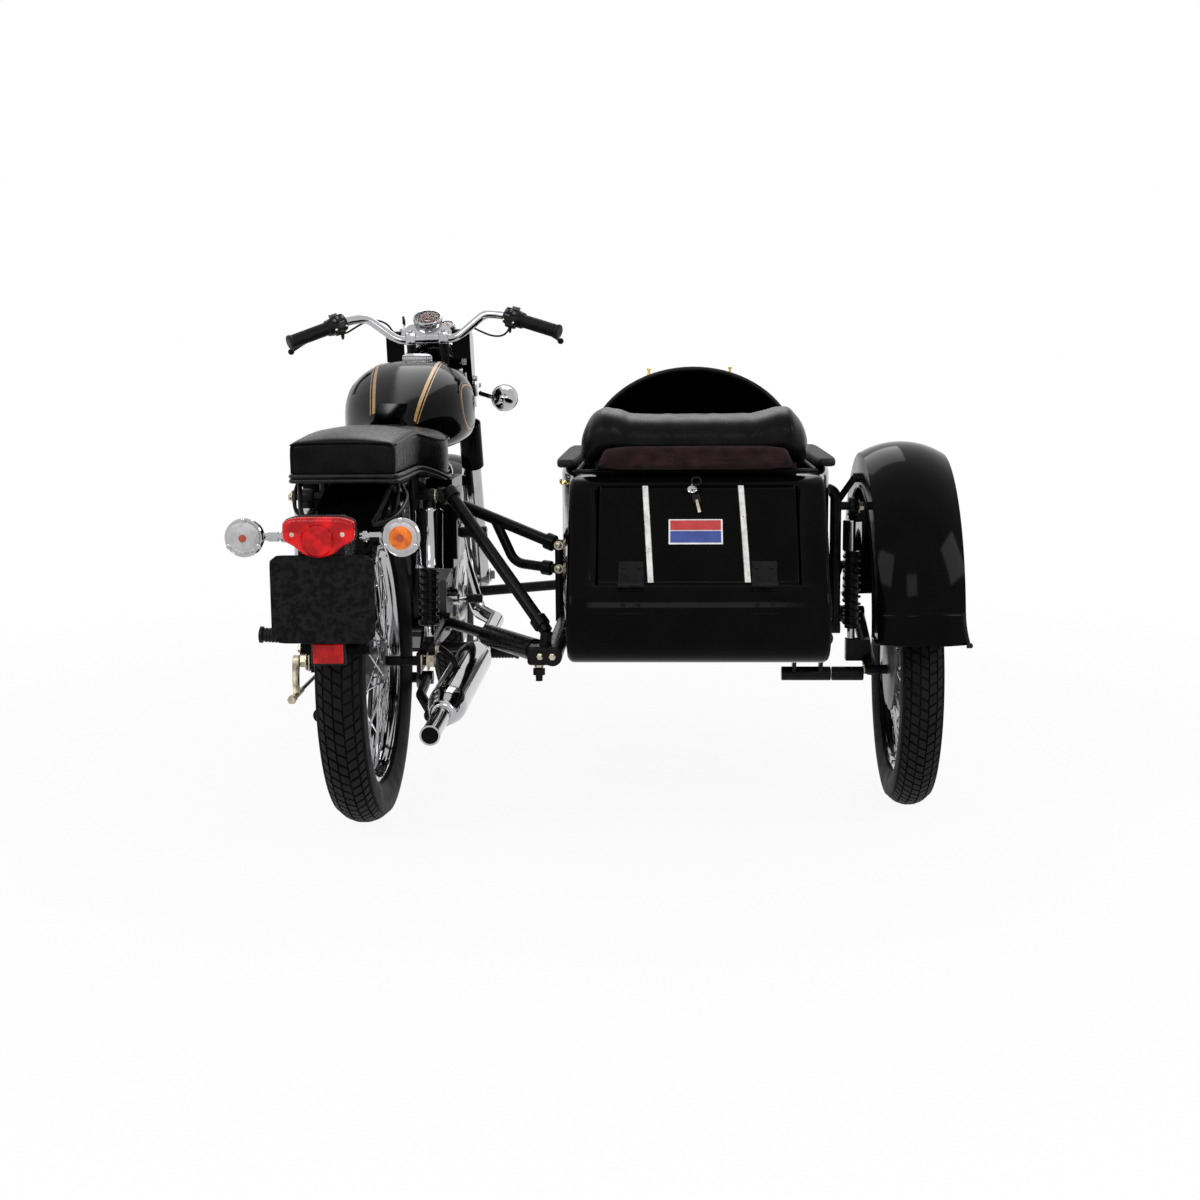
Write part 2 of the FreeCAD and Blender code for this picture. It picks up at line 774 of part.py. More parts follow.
def finned(name, low, height, core, reach, count_pitch):
    """A block with cooling fins stacked up it."""
    body = new_body(name)
    pad(body, circle(new_sketch(body, "XY_Plane"), 0, 0, core), height)
    span = reach
    corner = reach * 0.6
    outline = [
        (corner, -span),
        (span, -corner, span * 0.87, -span * 0.87),
        (span, corner),
        (corner, span, span * 0.87, span * 0.87),
        (-corner, span),
        (-span, corner, -span * 0.87, span * 0.87),
        (-span, -corner),
        (-corner, -span, -span * 0.87, -span * 0.87),
    ]
    sketch = draw(new_sketch(body, "XY_Plane", count_pitch * 0.5), outline)
    fin = pad(body, sketch, d.fin_thickness)
    doc.recompute()
    pattern = body.newObject("PartDesign::LinearPattern", "fins")
    pattern.Originals = [fin]
    pattern.Direction = (sketch, ["N_Axis"])
    count = int(float(height) / float(count_pitch))
    pattern.Length = float(count_pitch) * (count - 1)
    pattern.Occurrences = count
    body.Tip = pattern
    place(body, vector(0, d.cylinder_forward, low))
    return body


barrel_low = d.cylinder_low + 0.0
barrel = finned("barrel", barrel_low, d.cylinder_height, d.cylinder_radius, d.fin_reach, d.fin_pitch)
keep(barrel, "cylinder_barrel", "chassis")
head_low = d.cylinder_low + d.cylinder_height
head = finned("head", head_low, d.head_block_height, d.cylinder_radius + 12, d.fin_reach + 8, d.fin_pitch)
keep(head, "cylinder_head", "chassis")

carb_axis = vector(30, d.cylinder_forward - float(d.fin_reach) - 13.3, 668)
carb = [
    rod("carb_throat", carb_axis + AXIS_Y * 5, carb_axis - AXIS_Y * 92, 24),
    rod("carb_slide", carb_axis + vector(0, -48, -62), carb_axis + vector(0, -48, 48), 20),
]
keep(fuse("carb", carb), "carburettor", "chassis")

# Exhaust
silencer_front = vector(194, 280, 296)
silencer_rear = vector(185, -232, 270)
silencer_along = (silencer_rear - silencer_front).normalize()
pipe_points = [
    vector(52, 785, 664),
    vector(60, 850, 650),
    vector(92, 862, 440),
    vector(140, 800, 312),
    silencer_front - silencer_along * 360,
    silencer_front,
]
pipe_bar = bent_tube("pipe", pipe_points, d.pipe_radius, 40)
pipe_ring = rod("pipe_ring", vector(52, 780.3, 664), vector(52, 794, 664), 27)
keep(fuse("pipe_whole", [pipe_bar, pipe_ring]), "exhaust_pipe", "chassis")
silencer_length = (silencer_front - silencer_rear).Length
body_radius = d.silencer_radius
tail = d.tail_pipe_radius
neck = d.pipe_radius + 0.3
silencer_points = [
    (0.3, 0),
    (0.3, neck),
    (-26, neck),
    (-26, neck + 4),
    (2, neck + 5),
    (60, body_radius, 26, body_radius * 0.86),
    (silencer_length - 70, body_radius),
    (silencer_length, tail, silencer_length - 26, body_radius * 0.8),
    (silencer_length + 160, tail),
    (silencer_length + 160, tail - 2),
    (silencer_length + 20, tail - 2),
    (silencer_length + 20, 0),
]
silencer = turned("silencer_body", silencer_points)
place(silencer, silencer_front, FreeCAD.Rotation(AXIS_X, silencer_along))
keep(silencer, "silencer", "chassis")


# Fuel tank, lofted through rounded rings
def tank_ring(forward, half, low, top, wide=0.42):
    """One closed cross-section of the tank at a place along it."""
    height = top - low
    side = [(0.55, 0.0), (0.93, wide * 0.35), (1.0, wide), (0.92, 0.72), (0.55, 0.95)]
    points = [vector(0, forward, low)]
    points += [vector(half * across, forward, low + height * up) for across, up in side]
    points += [vector(0, forward, top)]
    points += [vector(-half * across, forward, low + height * up) for across, up in reversed(side)]
    curve = Part.BSplineCurve()
    curve.interpolate(points, PeriodicFlag=True)
    return Part.Wire(curve.toShape())


tank_shares = [
    (0.0, 0.30, 0.16, 0.40),
    (0.17, 0.60, 0.05, 0.62),
    (0.38, 0.90, 0.0, 0.84),
    (0.60, 1.0, 0.0, 0.98),
    (0.80, 0.93, 0.02, 1.0),
    (0.94, 0.68, 0.14, 0.93),
    (1.0, 0.40, 0.32, 0.80),
]
rings = []
for along, across, low, top in tank_shares:
    forward = float(d.tank_rear) + float(d.tank_length) * along
    height = float(d.tank_height)
    rings.append(tank_ring(forward, float(d.tank_half_width) * across, float(d.tank_low) + height * low,
                           float(d.tank_low) + height * top))
tank_skin = doc.addObject("Part::Feature", "tank_skin")
tank_skin.Shape = Part.makeLoft(rings, True, False)
tunnel = box("tank_tunnel", vector(-d.tunnel_half_width, d.tank_rear - 40, d.tank_low - 60),
             vector(d.tunnel_half_width, d.tank_rear + d.tank_length + 40, d.tank_low + d.tunnel_height))
keep(cut("tank", tank_skin, tunnel), "fuel_tank", "chassis")
cap_shares = [(0.0, 0.0), (0.0, 0.83), (0.24, 1.0), (0.67, 1.0), (0.9, 0.78), (1.0, 0.0)]
cap = turned("cap", [(d.cap_height * up, d.cap_radius * out) for up, out in cap_shares])
cap_sink = d.cap_height * 0.19
place(cap, vector(0, d.tank_rear + d.tank_length * float(d.cap_share), d.tank_low + d.tank_height - cap_sink),
      FreeCAD.Rotation(AXIS_X, AXIS_Z))
keep(trimmed("cap_seated", cap, [tank_skin]), "filler_cap", "chassis")

# Dual seat
seat_side = [
    (-d.seat_rear, d.seat_low),
    (-d.seat_rear, d.seat_low + d.seat_rear_height),
    (d.seat_step, d.seat_low + d.seat_rear_height + 14, -60, d.seat_low + d.seat_rear_height + 12),
    (d.seat_step + 60, d.seat_low + d.seat_rear_height - 6),
    (d.seat_front, d.seat_low + d.seat_rear_height - 12, 240, d.seat_low + d.seat_rear_height - 20),
    (d.seat_front, d.seat_low + 36),
    (d.seat_front - 30, d.seat_low),
]
seat_profile = plate("seat_profile", "YZ_Plane", seat_side, d.seat_front_half * 2 + 20, both=True)
seat_plan = [
    (-d.seat_rear_half, -d.seat_rear),
    (d.seat_rear_half, -d.seat_rear),
    (d.seat_rear_half, d.seat_step - 10),
    (d.seat_front_half * 0.86, d.seat_step + 60),
    (d.seat_front_half, 210, d.seat_front_half * 0.98, 170),
    (60, d.seat_front, 118, 300),
    (-60, d.seat_front),
    (-d.seat_front_half, 210, -118, 300),
    (-d.seat_front_half * 0.86, d.seat_step + 60, -d.seat_front_half * 0.98, 170),
    (-d.seat_rear_half, d.seat_step - 10),
]
seat_block = plate("seat_block", "XY_Plane", seat_plan, 200, lift=d.seat_low - 40)
keep(trimmed("seat_trim", common("seat", seat_profile, seat_block), [tank_skin]), "rider_seat", "chassis")

# Rear mudguard, number plate and lamps
def mudguard(name, radius, half, skirt, sheet_thickness, begin, sweep_angle, crown=0.1):
    """A curved mudguard blade of U section, turned about the wheel's line."""
    inner = radius - sheet_thickness
    side = half - sheet_thickness
    drop = half * 2 * crown
    points = [
        (-half, radius - drop - skirt),
        (-half, radius - drop),
        (half, radius - drop, 0, radius),
        (half, radius - drop - skirt),
        (side, radius - drop - skirt),
        (side, inner - drop),
        (-side, inner - drop, 0, inner),
        (-side, radius - drop - skirt),
    ]
    body = new_body(name)
    revolve(body, draw(new_sketch(body, "XY_Plane"), points), "H_Axis", sweep_angle)
    return body, turn(AXIS_X, begin)


rear_guard_centre = vector(0, 0, d.rear_guard_height)
guard, guard_turn = mudguard("rear_blade", d.rear_guard_radius, d.rear_guard_half_width, d.rear_guard_skirt,
                             d.guard_sheet, 62, 107)
place(guard, rear_guard_centre, guard_turn)
keep(guard, "rear_mudguard", "chassis")

plate_centre = vector(0, -d.plate_back, d.plate_low + d.plate_height / 2)
plate_points = [
    (-d.plate_half_width, d.plate_low + d.plate_height),
    (d.plate_half_width, d.plate_low + d.plate_height),
    (d.plate_half_width, d.plate_low + 14),
    (d.plate_half_width - 14, d.plate_low, d.plate_half_width - 4, d.plate_low + 4),
    (14 - d.plate_half_width, d.plate_low),
    (-d.plate_half_width, d.plate_low + 14, 4 - d.plate_half_width, d.plate_low + 4),
]
plate_sheet = plate("plate_sheet", "XZ_Plane", plate_points, 4, lift=d.plate_back)
bracket_side = [
    (-d.plate_back + 0.3, d.plate_low + 10),
    (-d.plate_back + 0.3, d.plate_low + d.plate_height + 64),
    (-d.plate_back + 26, d.plate_low + d.plate_height + 70),
    (-272.3, 592),
    (-335.3, 500, -306.9, 549),
    (-355.3, 450, -345.6, 477),
]
bracket = plate("plate_bracket", "YZ_Plane", bracket_side, 84, both=True)
keep(bracket, "plate_bracket", "chassis")
keep(plate_sheet, "number_plate", "chassis")

lamp_low = d.plate_low + d.plate_height + 2
lamp_points = [
    (-64, lamp_low + 24),
    (-64, lamp_low + 68),
    (64, lamp_low + 68),
    (64, lamp_low + 24),
    (38, lamp_low + 8),
    (24, lamp_low - 2),
    (-24, lamp_low - 2),
    (-38, lamp_low + 8),
]
lamp = plate("tail_lamp", "XZ_Plane", lamp_points, 34, lift=d.plate_back)
keep(lamp, "tail_lamp", "chassis")


def indicator(name, centre, side):
    """A bullet-shaped turn lamp with its lens behind."""
    points = [(0, 0), (0, 34), (22, 35), (30, 31), (58, 16, 48, 27), (64, 0)]
    shell = turned(name + "_shell", points)
    place(shell, centre, FreeCAD.Rotation(AXIS_X, AXIS_Y))
    return shell


tail_lamps = []
for side in (-1, 1):
    centre = vector(side * 142, -418, 630)
    shell = indicator("rear_indicator_%d" % (side + 1), centre, side)
    stem = rod("rear_indicator_stem_%d" % (side + 1), vector(side * 116, -400, 630), vector(side * 42.3, -400, 630), 7)
    tail_lamps.append(fuse("rear_indicator_fused_%d" % (side + 1), [shell, stem]))
keep(group("rear_indicator_pair", tail_lamps), "rear_indicators", "chassis")
reflector = plate("reflector", "XZ_Plane", [(-31, 394), (-31, 436), (31, 436), (31, 394)], 12, lift=386)
reflector_foot = box("reflector_foot", vector(-14, -386, 412), vector(14, -364.9, 420))
keep(fuse("reflector_set", [reflector, reflector_foot]), "rear_reflector", "chassis")

# Chain, guards and foot controls
chain_points = [
    (-78, d.rear_tyre_radius, 0, d.rear_tyre_radius - 78),
    (d.gearbox_forward - 60, 335, 0, 330 + 78),
]
chain = new_body("chain")
chain_outline = new_sketch(chain, "YZ_Plane", -72)
draw(chain_outline, [(468, 322), (468, 398, 506, 360), (0, 408), (0, 252, -78, 330)])
pad(chain, chain_outline, 10, both=True)
inner_chain = new_sketch(chain, "YZ_Plane", -72)
draw(inner_chain, [(468, 332), (468, 388, 496, 360), (0, 398), (0, 262, -68, 330)])
pocket(chain, inner_chain, 12, both=True)
keep(chain, "drive_chain", "chassis")

pegs = []
for side in (-1, 1):
    pegs.append(rod("rider_peg_%d" % (side + 1), vector(side * 140, 560, 250), vector(side * 262, 560, 250), 14))
peg_bar = trimmed("peg_bar_trim", rod("peg_bar", vector(-150, 560, 262), vector(150, 560, 262), 12), [crankcase])
rider_pegs = fuse("rider_peg_set", pegs + [peg_bar])
pillion_parts = [
    box("pillion_hanger", vector(-128.3, 138, 338), vector(-122.3, 398, 362)),
    rod("pillion_shank", vector(-128, 150, 352), vector(-196, 150, 356), 8),
    rod("pillion_rubber", vector(-194, 150, 356), vector(-259, 150, 360), 14),
]
keep(group("foot_set", [rider_pegs, trimmed("pillion_trim", fuse("pillion_set", pillion_parts), [rear_fork])]),
     "footrests", "chassis")
pedal = d.pedal_radius
brake_pedal = fuse("brake_pedal", [
    rod("brake_pedal_arm", BRAKE_ROD_END + vector(0, 0.3, 0), vector(-148, 534, 292), pedal),
    rod("brake_pedal_reach", vector(-148, 534, 292), vector(-168, 720, 258), pedal),
    rod("brake_pedal_pivot", vector(-124.6, 534, 292), vector(-156, 534, 292), pedal * 1.8),
    box("brake_pedal_pad", vector(-206, 700, 256), vector(-160, 744, 266)),
])
gear_lever = fuse("gear_lever", [
    rod("gear_boss", vector(108.6, 500, 384), vector(128, 500, 384), pedal * 2),
    rod("gear_arm", vector(122, 500, 384), vector(132, 632, 368), pedal),
    rod("gear_peg", vector(126, 632, 368), vector(170, 632, 368), pedal * 1.5),
])
kick_start = fuse("kick_start", [
    rod("kick_boss", vector(108.6, 448, 408), vector(132, 448, 408), pedal * 2.4),
    rod("kick_arm", vector(124, 448, 408), vector(146, 412, 556), pedal * 1.2),
    rod("kick_peg", vector(140, 412, 552), vector(208, 412, 552), pedal * 1.8),
])
brake_pedal_trim = trimmed("brake_pedal_trim", brake_pedal, [rear_fork])
keep(group("foot_lever_set", [brake_pedal_trim, gear_lever, kick_start]), "foot_controls", "chassis")
box_left = box("tool_box_left", vector(-160, 170, 500), vector(-103.6, 340, 690))
box_right = box("tool_box_right", vector(103.6, 170, 500), vector(160, 340, 690))
boxes = []
for side, block in ((-1, box_left), (1, box_right)):
    lugs = [block]
    for number, (forward, up, reach) in enumerate(((250, 512, 71), (188, 584, 81))):
        lugs.append(box("tool_box_lug_%d%d" % (side + 1, number),
                        vector(min(side * reach, side * 106), forward - 8, up - 6),
                        vector(max(side * reach, side * 106), forward + 8, up + 6)))
    boxes.append(trimmed("tool_box_%d" % (side + 1), fuse("tool_box_whole_%d" % (side + 1), lugs),
                         [rail_right if side > 0 else rail_left]))
keep(group("tool_box_pair", boxes), "tool_boxes", "chassis")

# Fork, yokes and shrouds
fork_parts = []
for side in (-1, 1):
    aside = float(d.fork_spread) * side
    ahead = d.axle_offset
    slider = rod("slider_%d" % (side + 1), on_steer_axis(-24, ahead, aside),
                 on_steer_axis(d.fork_slider_length, ahead, aside), d.fork_slider_radius)
    tube = rod("fork_tube_%d" % (side + 1), on_steer_axis(d.fork_slider_length - 20, ahead, aside),
               on_steer_axis(d.fork_top_along + 44, ahead, aside), d.fork_tube_radius)
    fork_parts += [slider, tube]
stem = rod("steer_stem", on_steer_axis(d.head_low_along - d.yoke_gap - d.yoke_height),
           on_steer_axis(d.head_low_along + d.head_length + d.yoke_gap + d.yoke_height), d.stem_radius)
yoke_points = [
    (-d.fork_spread - 14, d.axle_offset - 20),
    (-d.fork_spread - 14, d.axle_offset + 20),
    (d.fork_spread + 14, d.axle_offset + 20),
    (d.fork_spread + 14, d.axle_offset - 20),
    (24, -26),
    (-24, -26),
]
for number, along in enumerate((d.head_low_along - d.yoke_gap - d.yoke_height,
                                d.head_low_along + d.head_length + d.yoke_gap)):
    yoke = plate("yoke_%d" % number, "XY_Plane", yoke_points, d.yoke_height)
    place(yoke, on_steer_axis(along), FORK_TURN)
    fork_parts.append(yoke)
fork_axle = rod("fork_axle", FRONT_AXLE - AXIS_X * 112, FRONT_AXLE + AXIS_X * 112, d.axle_radius)
fork_whole = keep(fuse("fork_set", fork_parts + [stem, fork_axle]), "front_fork", "steering")

shrouds = []
for side in (-1, 1):
    aside = float(d.fork_spread) * side
    low = on_steer_axis(d.shroud_low_along, d.axle_offset, aside)
    high = on_steer_axis(d.head_low_along - d.yoke_gap - d.yoke_height - 0.5, d.axle_offset, aside)
    shrouds.append(rod("shroud_%d" % (side + 1), low, high, d.shroud_radius,
                       d.shroud_radius - d.shroud_wall))
keep(group("shroud_pair", shrouds), "fork_shrouds", "steering")

# Headlamp casing with the instruments on top
def casing_solid(name, inset, half):
    """The casing's outer form, or its inside where an inset is given."""
    side = [
        (1004 + inset, 990 - inset),
        (1034 + inset * 0.5, 1014 - inset, 1012 + inset * 0.7, 1008 - inset * 0.7),
        (1176, 990 - inset, 1110, 1010 - inset),
        (1176, 806 - inset),
        (1116, 812 - inset),
        (1004 + inset, 900 - inset),
    ]
    return plate(name, "YZ_Plane", side, half * 2, both=True)


casing_outer = casing_solid("casing_outer", 0.0, d.casing_half)
casing_inner = casing_solid("casing_inner", float(d.casing_wall), d.casing_half - d.casing_wall)
yoke_room = plate("casing_yoke_room", "XY_Plane",
                  [(-130, -60), (-130, 20), (-104, 20), (-104, 84), (104, 84), (104, 20), (130, 20), (130, -60)], 70)
place(yoke_room, on_steer_axis(d.head_low_along + d.head_length - 20), FORK_TURN)
bar_room = box("casing_bar_room", vector(-62, 960, 880), vector(62, 1046, 984))
bar_slot = box("casing_bar_slot", vector(-130, 960, 968), vector(130, 1012, 1030))
casing = cut("casing_cut", casing_outer, fuse("casing_tools", [casing_inner, yoke_room, bar_room]))
keep(casing, "lamp_casing", "steering")
lamp_face = turned("headlamp_body", [(0.3, 0), (0.3, 92), (26, 96), (34, 88), (46, 60, 42, 78), (50, 0)])
place(lamp_face, vector(0, 1176, 896), FreeCAD.Rotation(AXIS_X, AXIS_Y))
keep(lamp_face, "headlamp", "steering")
speedo = rod("speedo", vector(0, 1052, 1000), vector(0, 1034, 1048), 36)
ammeter = rod("ammeter", vector(50, 1046, 1000), vector(50, 1038, 1026), 18)
keep(trimmed("instruments_seated", group("instrument_pair", [speedo, ammeter]), [casing_outer]), "instruments",
     "steering")

# Handlebar, grips and levers
yoke_top = d.head_low_along + d.head_length + d.yoke_gap + d.yoke_height
BAR_CENTRE = on_steer_axis(yoke_top, d.riser_ahead) + vector(0, -d.riser_back, d.riser_height)


def bar_run(side):
    """Corners of one half of the handlebar, from its middle outwards."""
    return [
        BAR_CENTRE + vector(side * d.bar_low_reach, 0, 0),
        BAR_CENTRE + vector(side * d.bar_rise_reach, -d.bar_rise_back, d.bar_rise),
        BAR_CENTRE + vector(side * d.bar_grip_reach, -d.bar_grip_back, d.bar_grip_rise),
        BAR_CENTRE + vector(side * d.bar_end_reach, -d.bar_grip_back - d.bar_end_back, d.bar_grip_rise - d.bar_end_drop),
    ]


def bend_reach(before, corner, after, radius):
    """How far a bend reaches along its two runs."""
    half = (before - corner).getAngle(after - corner) / 2
    return float(radius) / math.tan(half)


bar_points = list(reversed(bar_run(-1))) + bar_run(1)
bar = bent_tube("handlebar_tube", bar_points, d.bar_radius, d.bar_bend)
risers = []
for side in (-1, 1):
    foot = on_steer_axis(yoke_top, d.riser_ahead, side * d.riser_reach)
    risers.append(rod("riser_%d" % (side + 1), foot, BAR_CENTRE + AXIS_X * float(side * d.riser_reach), d.riser_radius))
keep(trimmed("handlebar_trim", fuse("handlebar_set", [bar] + risers), [fork_whole]), "handlebar", "steering")
grips = []
controls = []
for side in (-1, 1):
    rise, root, tip = bar_run(side)[1:]
    along = (tip - root).normalize()
    switch_start = bend_reach(rise, root, tip, d.bar_bend) + float(d.switch_clear)
    switch_end = switch_start + float(d.switch_length)
    bore = d.bar_radius + d.grip_fit
    grips.append(rod("grip_%d" % (side + 1), root + along * (switch_end + float(d.grip_fit)),
                     tip + along * float(d.grip_overrun), d.grip_radius, bore))
    block = rod("switch_%d" % (side + 1), root + along * switch_start, root + along * switch_end, d.switch_radius)
    perch_foot = root + along * ((switch_start + switch_end) / 2)
    ahead = (AXIS_Y - along * along.y).normalize()
    perch_tip = perch_foot + ahead * float(d.perch_reach) - AXIS_Z * float(d.lever_drop * 0.5)
    perch = rod("perch_%d" % (side + 1), perch_foot, perch_tip, d.perch_radius)
    lever_bow = perch_tip + along * float(d.lever_length * 0.5) + ahead * float(d.lever_ahead - d.perch_reach)
    lever_tip = perch_tip + along * float(d.lever_length) + ahead * float(d.lever_radius) - AXIS_Z * float(d.lever_drop)
    lever = bent_tube("lever_%d" % (side + 1), [perch_tip - along * float(d.perch_radius), lever_bow, lever_tip],
                      d.lever_radius, d.lever_length * 0.5)
    knob = doc.addObject("Part::Sphere", "lever_knob_%d" % (side + 1))
    bind(knob, "Radius", d.lever_radius * 1.6)
    place(knob, lever_tip)
    whole_control = fuse("control_%d" % (side + 1), [block, perch, lever, knob])
    controls.append(cut("control_bored_%d" % (side + 1), whole_control,
                        rod("control_bore_%d" % (side + 1), root, tip, bore)))
keep(group("grip_pair", grips), "grips", "steering")
keep(group("control_pair", controls), "hand_controls", "steering")

# Front mudguard and indicators
front_guard, front_turn = mudguard("front_blade", d.front_tyre_radius + 24, 56, 34, d.guard_sheet, 22, 168)
place(front_guard, FRONT_AXLE, front_turn)
guard_lugs = []
guard_foot = on_steer_axis(318, d.axle_offset)
for side in (-1, 1):
    guard_lugs.append(rod("front_guard_lug_%d" % (side + 1), guard_foot + AXIS_X * side * 54,
                          guard_foot + AXIS_X * side * 70, 15))
for side in (-1, 1):
    for number, angle in enumerate((150, 184)):
        tip_turn = math.radians(angle)
        reach = float(d.front_tyre_radius) + 4
        tip = FRONT_AXLE + vector(side * 58, reach * math.cos(tip_turn), reach * math.sin(tip_turn))
        guard_lugs.append(rod("front_guard_stay_%d%d" % (side + 1, number),
                              on_steer_axis(-12, d.axle_offset, side * 84), tip, d.stay_radius))
front_fenders = fuse("front_guard_whole", [front_guard] + guard_lugs)
keep(trimmed("front_guard_trim", front_fenders, [fork_whole]), "front_mudguard", "steering")
front_lamps = []
for side in (-1, 1):
    centre = vector(side * 188, 1080, 831)
    shell = turned("front_indicator_%d" % (side + 1), [(0, 0), (0, 34), (-22, 35), (-30, 31), (-58, 16, -48, 27), (-64, 0)])
    place(shell, centre, FreeCAD.Rotation(AXIS_X, AXIS_Y))
    stem_end = vector(side * 114, 1098, 850)
    stem_rod = rod("front_indicator_stem_%d" % (side + 1), stem_end, vector(side * 170, 1062, 831), 7)
    stem_plate = box("front_indicator_plate_%d" % (side + 1), vector(min(side * 108.3, side * 120), 1084, 838),
                     vector(max(side * 108.3, side * 120), 1112, 874))
    front_lamps.append(fuse("front_indicator_fused_%d" % (side + 1), [shell, stem_rod, stem_plate]))
keep(group("front_indicator_pair", front_lamps), "front_indicators", "steering")

# Centre stand, folded back under the frame
STAND_PIVOT = vector(0, 330, 232)
stand_parts = []
for side in (-1, 1):
    leg = bent_tube("stand_leg_%d" % (side + 1), [
        STAND_PIVOT + AXIS_X * side * 75,
        STAND_PIVOT + vector(side * 78, -130, -14),
        STAND_PIVOT + vector(side * 118, -238, -34),
    ], 11, 40)
    foot = rod("stand_foot_%d" % (side + 1), STAND_PIVOT + vector(side * 118, -252, -34),
               STAND_PIVOT + vector(side * 118, -222, -34), 16)
    boss = rod("stand_boss_%d" % (side + 1), STAND_PIVOT + AXIS_X * side * 63, STAND_PIVOT + AXIS_X * side * 88, 15)
    stand_parts += [leg, foot, boss]
stand_parts.append(rod("stand_cross", STAND_PIVOT - AXIS_X * 52.2, STAND_PIVOT + AXIS_X * 52.2, 12))
stand_parts.append(rod("stand_pin", STAND_PIVOT - AXIS_X * 70, STAND_PIVOT + AXIS_X * 70, 8))
keep(fuse("stand_set", stand_parts), "centre_stand", "centre_stand")

# Sidecar body: a rolled tail and cockpit tub, with the nose and cowl as a second pressing
def tub_profile(inset):
    """The side outline of the tub, shrunk by the wall where it is given."""
    rear = -150 + inset
    return [
        (d.car_scuttle, d.car_deck - inset),
        (d.car_scuttle, d.car_floor + inset),
        (60, d.car_floor + inset),
        (-236, 374 + inset),
        (-325 + inset, 452, -303 + inset * 0.7, 396 + inset * 0.7),
        (-300 + inset, 527, -323 + inset, 492),
        (rear, d.car_deck - inset, -238 + inset, 612),
    ]


def tub_plan(inset):
    """The outline of the tub seen from above."""
    tail_half = d.car_tail_half - inset
    mid = d.car_mid_half - inset
    centre = d.car_centre
    return [
        (centre - tail_half, -400),
        (centre + tail_half, -400),
        (centre + tail_half, -60),
        (centre + mid, 330, centre + (tail_half + mid) / 2 + 12, 128),
        (centre + mid, 700),
        (centre - mid, 700),
        (centre - mid, 330),
        (centre - tail_half, -60, centre - (tail_half + mid) / 2 - 12, 128),
    ]


def tub_solid(name, inset):
    """The tub as one solid, shrunk by an inset."""
    side = plate(name + "_side", "YZ_Plane", tub_profile(inset), 1000, lift=d.car_centre - 500)
    plan = plate(name + "_plan", "XY_Plane", tub_plan(inset), 900, lift=0.0)
    return common(name, side, plan)


def nose_ring(forward, half, low, deck, crown_half, crown_rise, bottom_round):
    """One cross-section of the nose: rounded bottom, sides and arched cowl."""
    centre = float(d.car_centre)
    def at(aside, up):
        return vector(centre + aside, forward, up)
    edges = []
    round_low = bottom_round * 0.293
    corner = bottom_round
    edges.append(Part.LineSegment(at(-half + corner, low), at(half - corner, low)).toShape())
    edges.append(Part.Arc(at(half - corner, low), at(half - round_low, low + round_low), at(half, low + corner)).toShape())
    edges.append(Part.LineSegment(at(half, low + corner), at(half, deck - 12)).toShape())
    edges.append(Part.Arc(at(half, deck - 12), at(half - 3.5, deck - 3.5), at(half - 12, deck)).toShape())
    edges.append(Part.LineSegment(at(half - 12, deck), at(crown_half, deck)).toShape())
    crown = Part.Ellipse(at(crown_half, deck), at(0, deck + crown_rise), at(0, deck))
    edges.append(Part.ArcOfEllipse(crown, 0, math.pi).toShape())
    edges.append(Part.LineSegment(at(-crown_half, deck), at(-half + 12, deck)).toShape())
    edges.append(Part.Arc(at(-half + 12, deck), at(-half + 3.5, deck - 3.5), at(-half, deck - 12)).toShape())
    edges.append(Part.LineSegment(at(-half, deck - 12), at(-half, low + corner)).toShape())
    edges.append(Part.Arc(at(-half, low + corner), at(-half + round_low, low + round_low), at(-half + corner, low)).toShape())
    return Part.Wire(edges)


nose_shares = [
    (0.0, 1.0, 0.0, 1.0, 1.0, 1.0),
    (0.35, 0.93, 0.06, 0.985, 0.88, 0.66),
    (0.68, 0.72, 0.22, 0.92, 0.66, 0.34),
    (0.90, 0.44, 0.42, 0.83, 0.40, 0.14),
    (1.0, 0.24, 0.54, 0.75, 0.22, 0.05),
]


def nose_solid(name, inset, stretch):
    """The nose as one solid, shrunk by an inset and lengthened at its open end."""
    rings = []
    length = float(d.car_nose - d.car_scuttle)
    for along, half_share, low_share, deck_share, crown_share, rise_share in nose_shares:
        start = stretch if along == 0.0 else 0.0
        tip = inset if along == 1.0 else 0.0
        height = float(d.car_deck - d.car_floor)
        half = float(d.car_mid_half) * half_share - inset
        low = float(d.car_floor) + height * low_share + inset
        deck = float(d.car_floor) + height * deck_share - inset
        crown = float(d.cowl_half) * crown_share - inset
        rings.append(nose_ring(float(d.car_scuttle) + length * along - start - tip, half, low, deck, crown,
                               float(d.cowl_rise) * rise_share, 40.0 * (0.5 + 0.5 * half_share) - inset))
    solid = doc.addObject("Part::Feature", name)
    solid.Shape = Part.makeLoft(rings, True, False)
    return solid


wall = float(d.car_wall)
nose_outer = nose_solid("nose_outer", 0.0, 0.0)
nose_inner = nose_solid("nose_inner", wall, 5.0)
keep(cut("nose_shell", nose_outer, nose_inner), "sidecar_nose", "chassis")

tub_shell = cut("tub_shell", tub_solid("tub_outer", 0.0), tub_solid("tub_inner", wall))
centre = float(d.car_centre)
front_open = box("tub_front_open", vector(centre - d.car_mid_half + wall, 640, d.car_floor + wall),
                 vector(centre + d.car_mid_half - wall, 660, d.car_deck - wall))
cockpit_open = box("cockpit_open", vector(centre - d.cockpit_half, d.cockpit_rear, 600),
                   vector(centre + d.cockpit_half, 660, 900))
LID_LOW = 527.0
lid_half = float(d.lid_half)
gap = float(d.lid_gap)


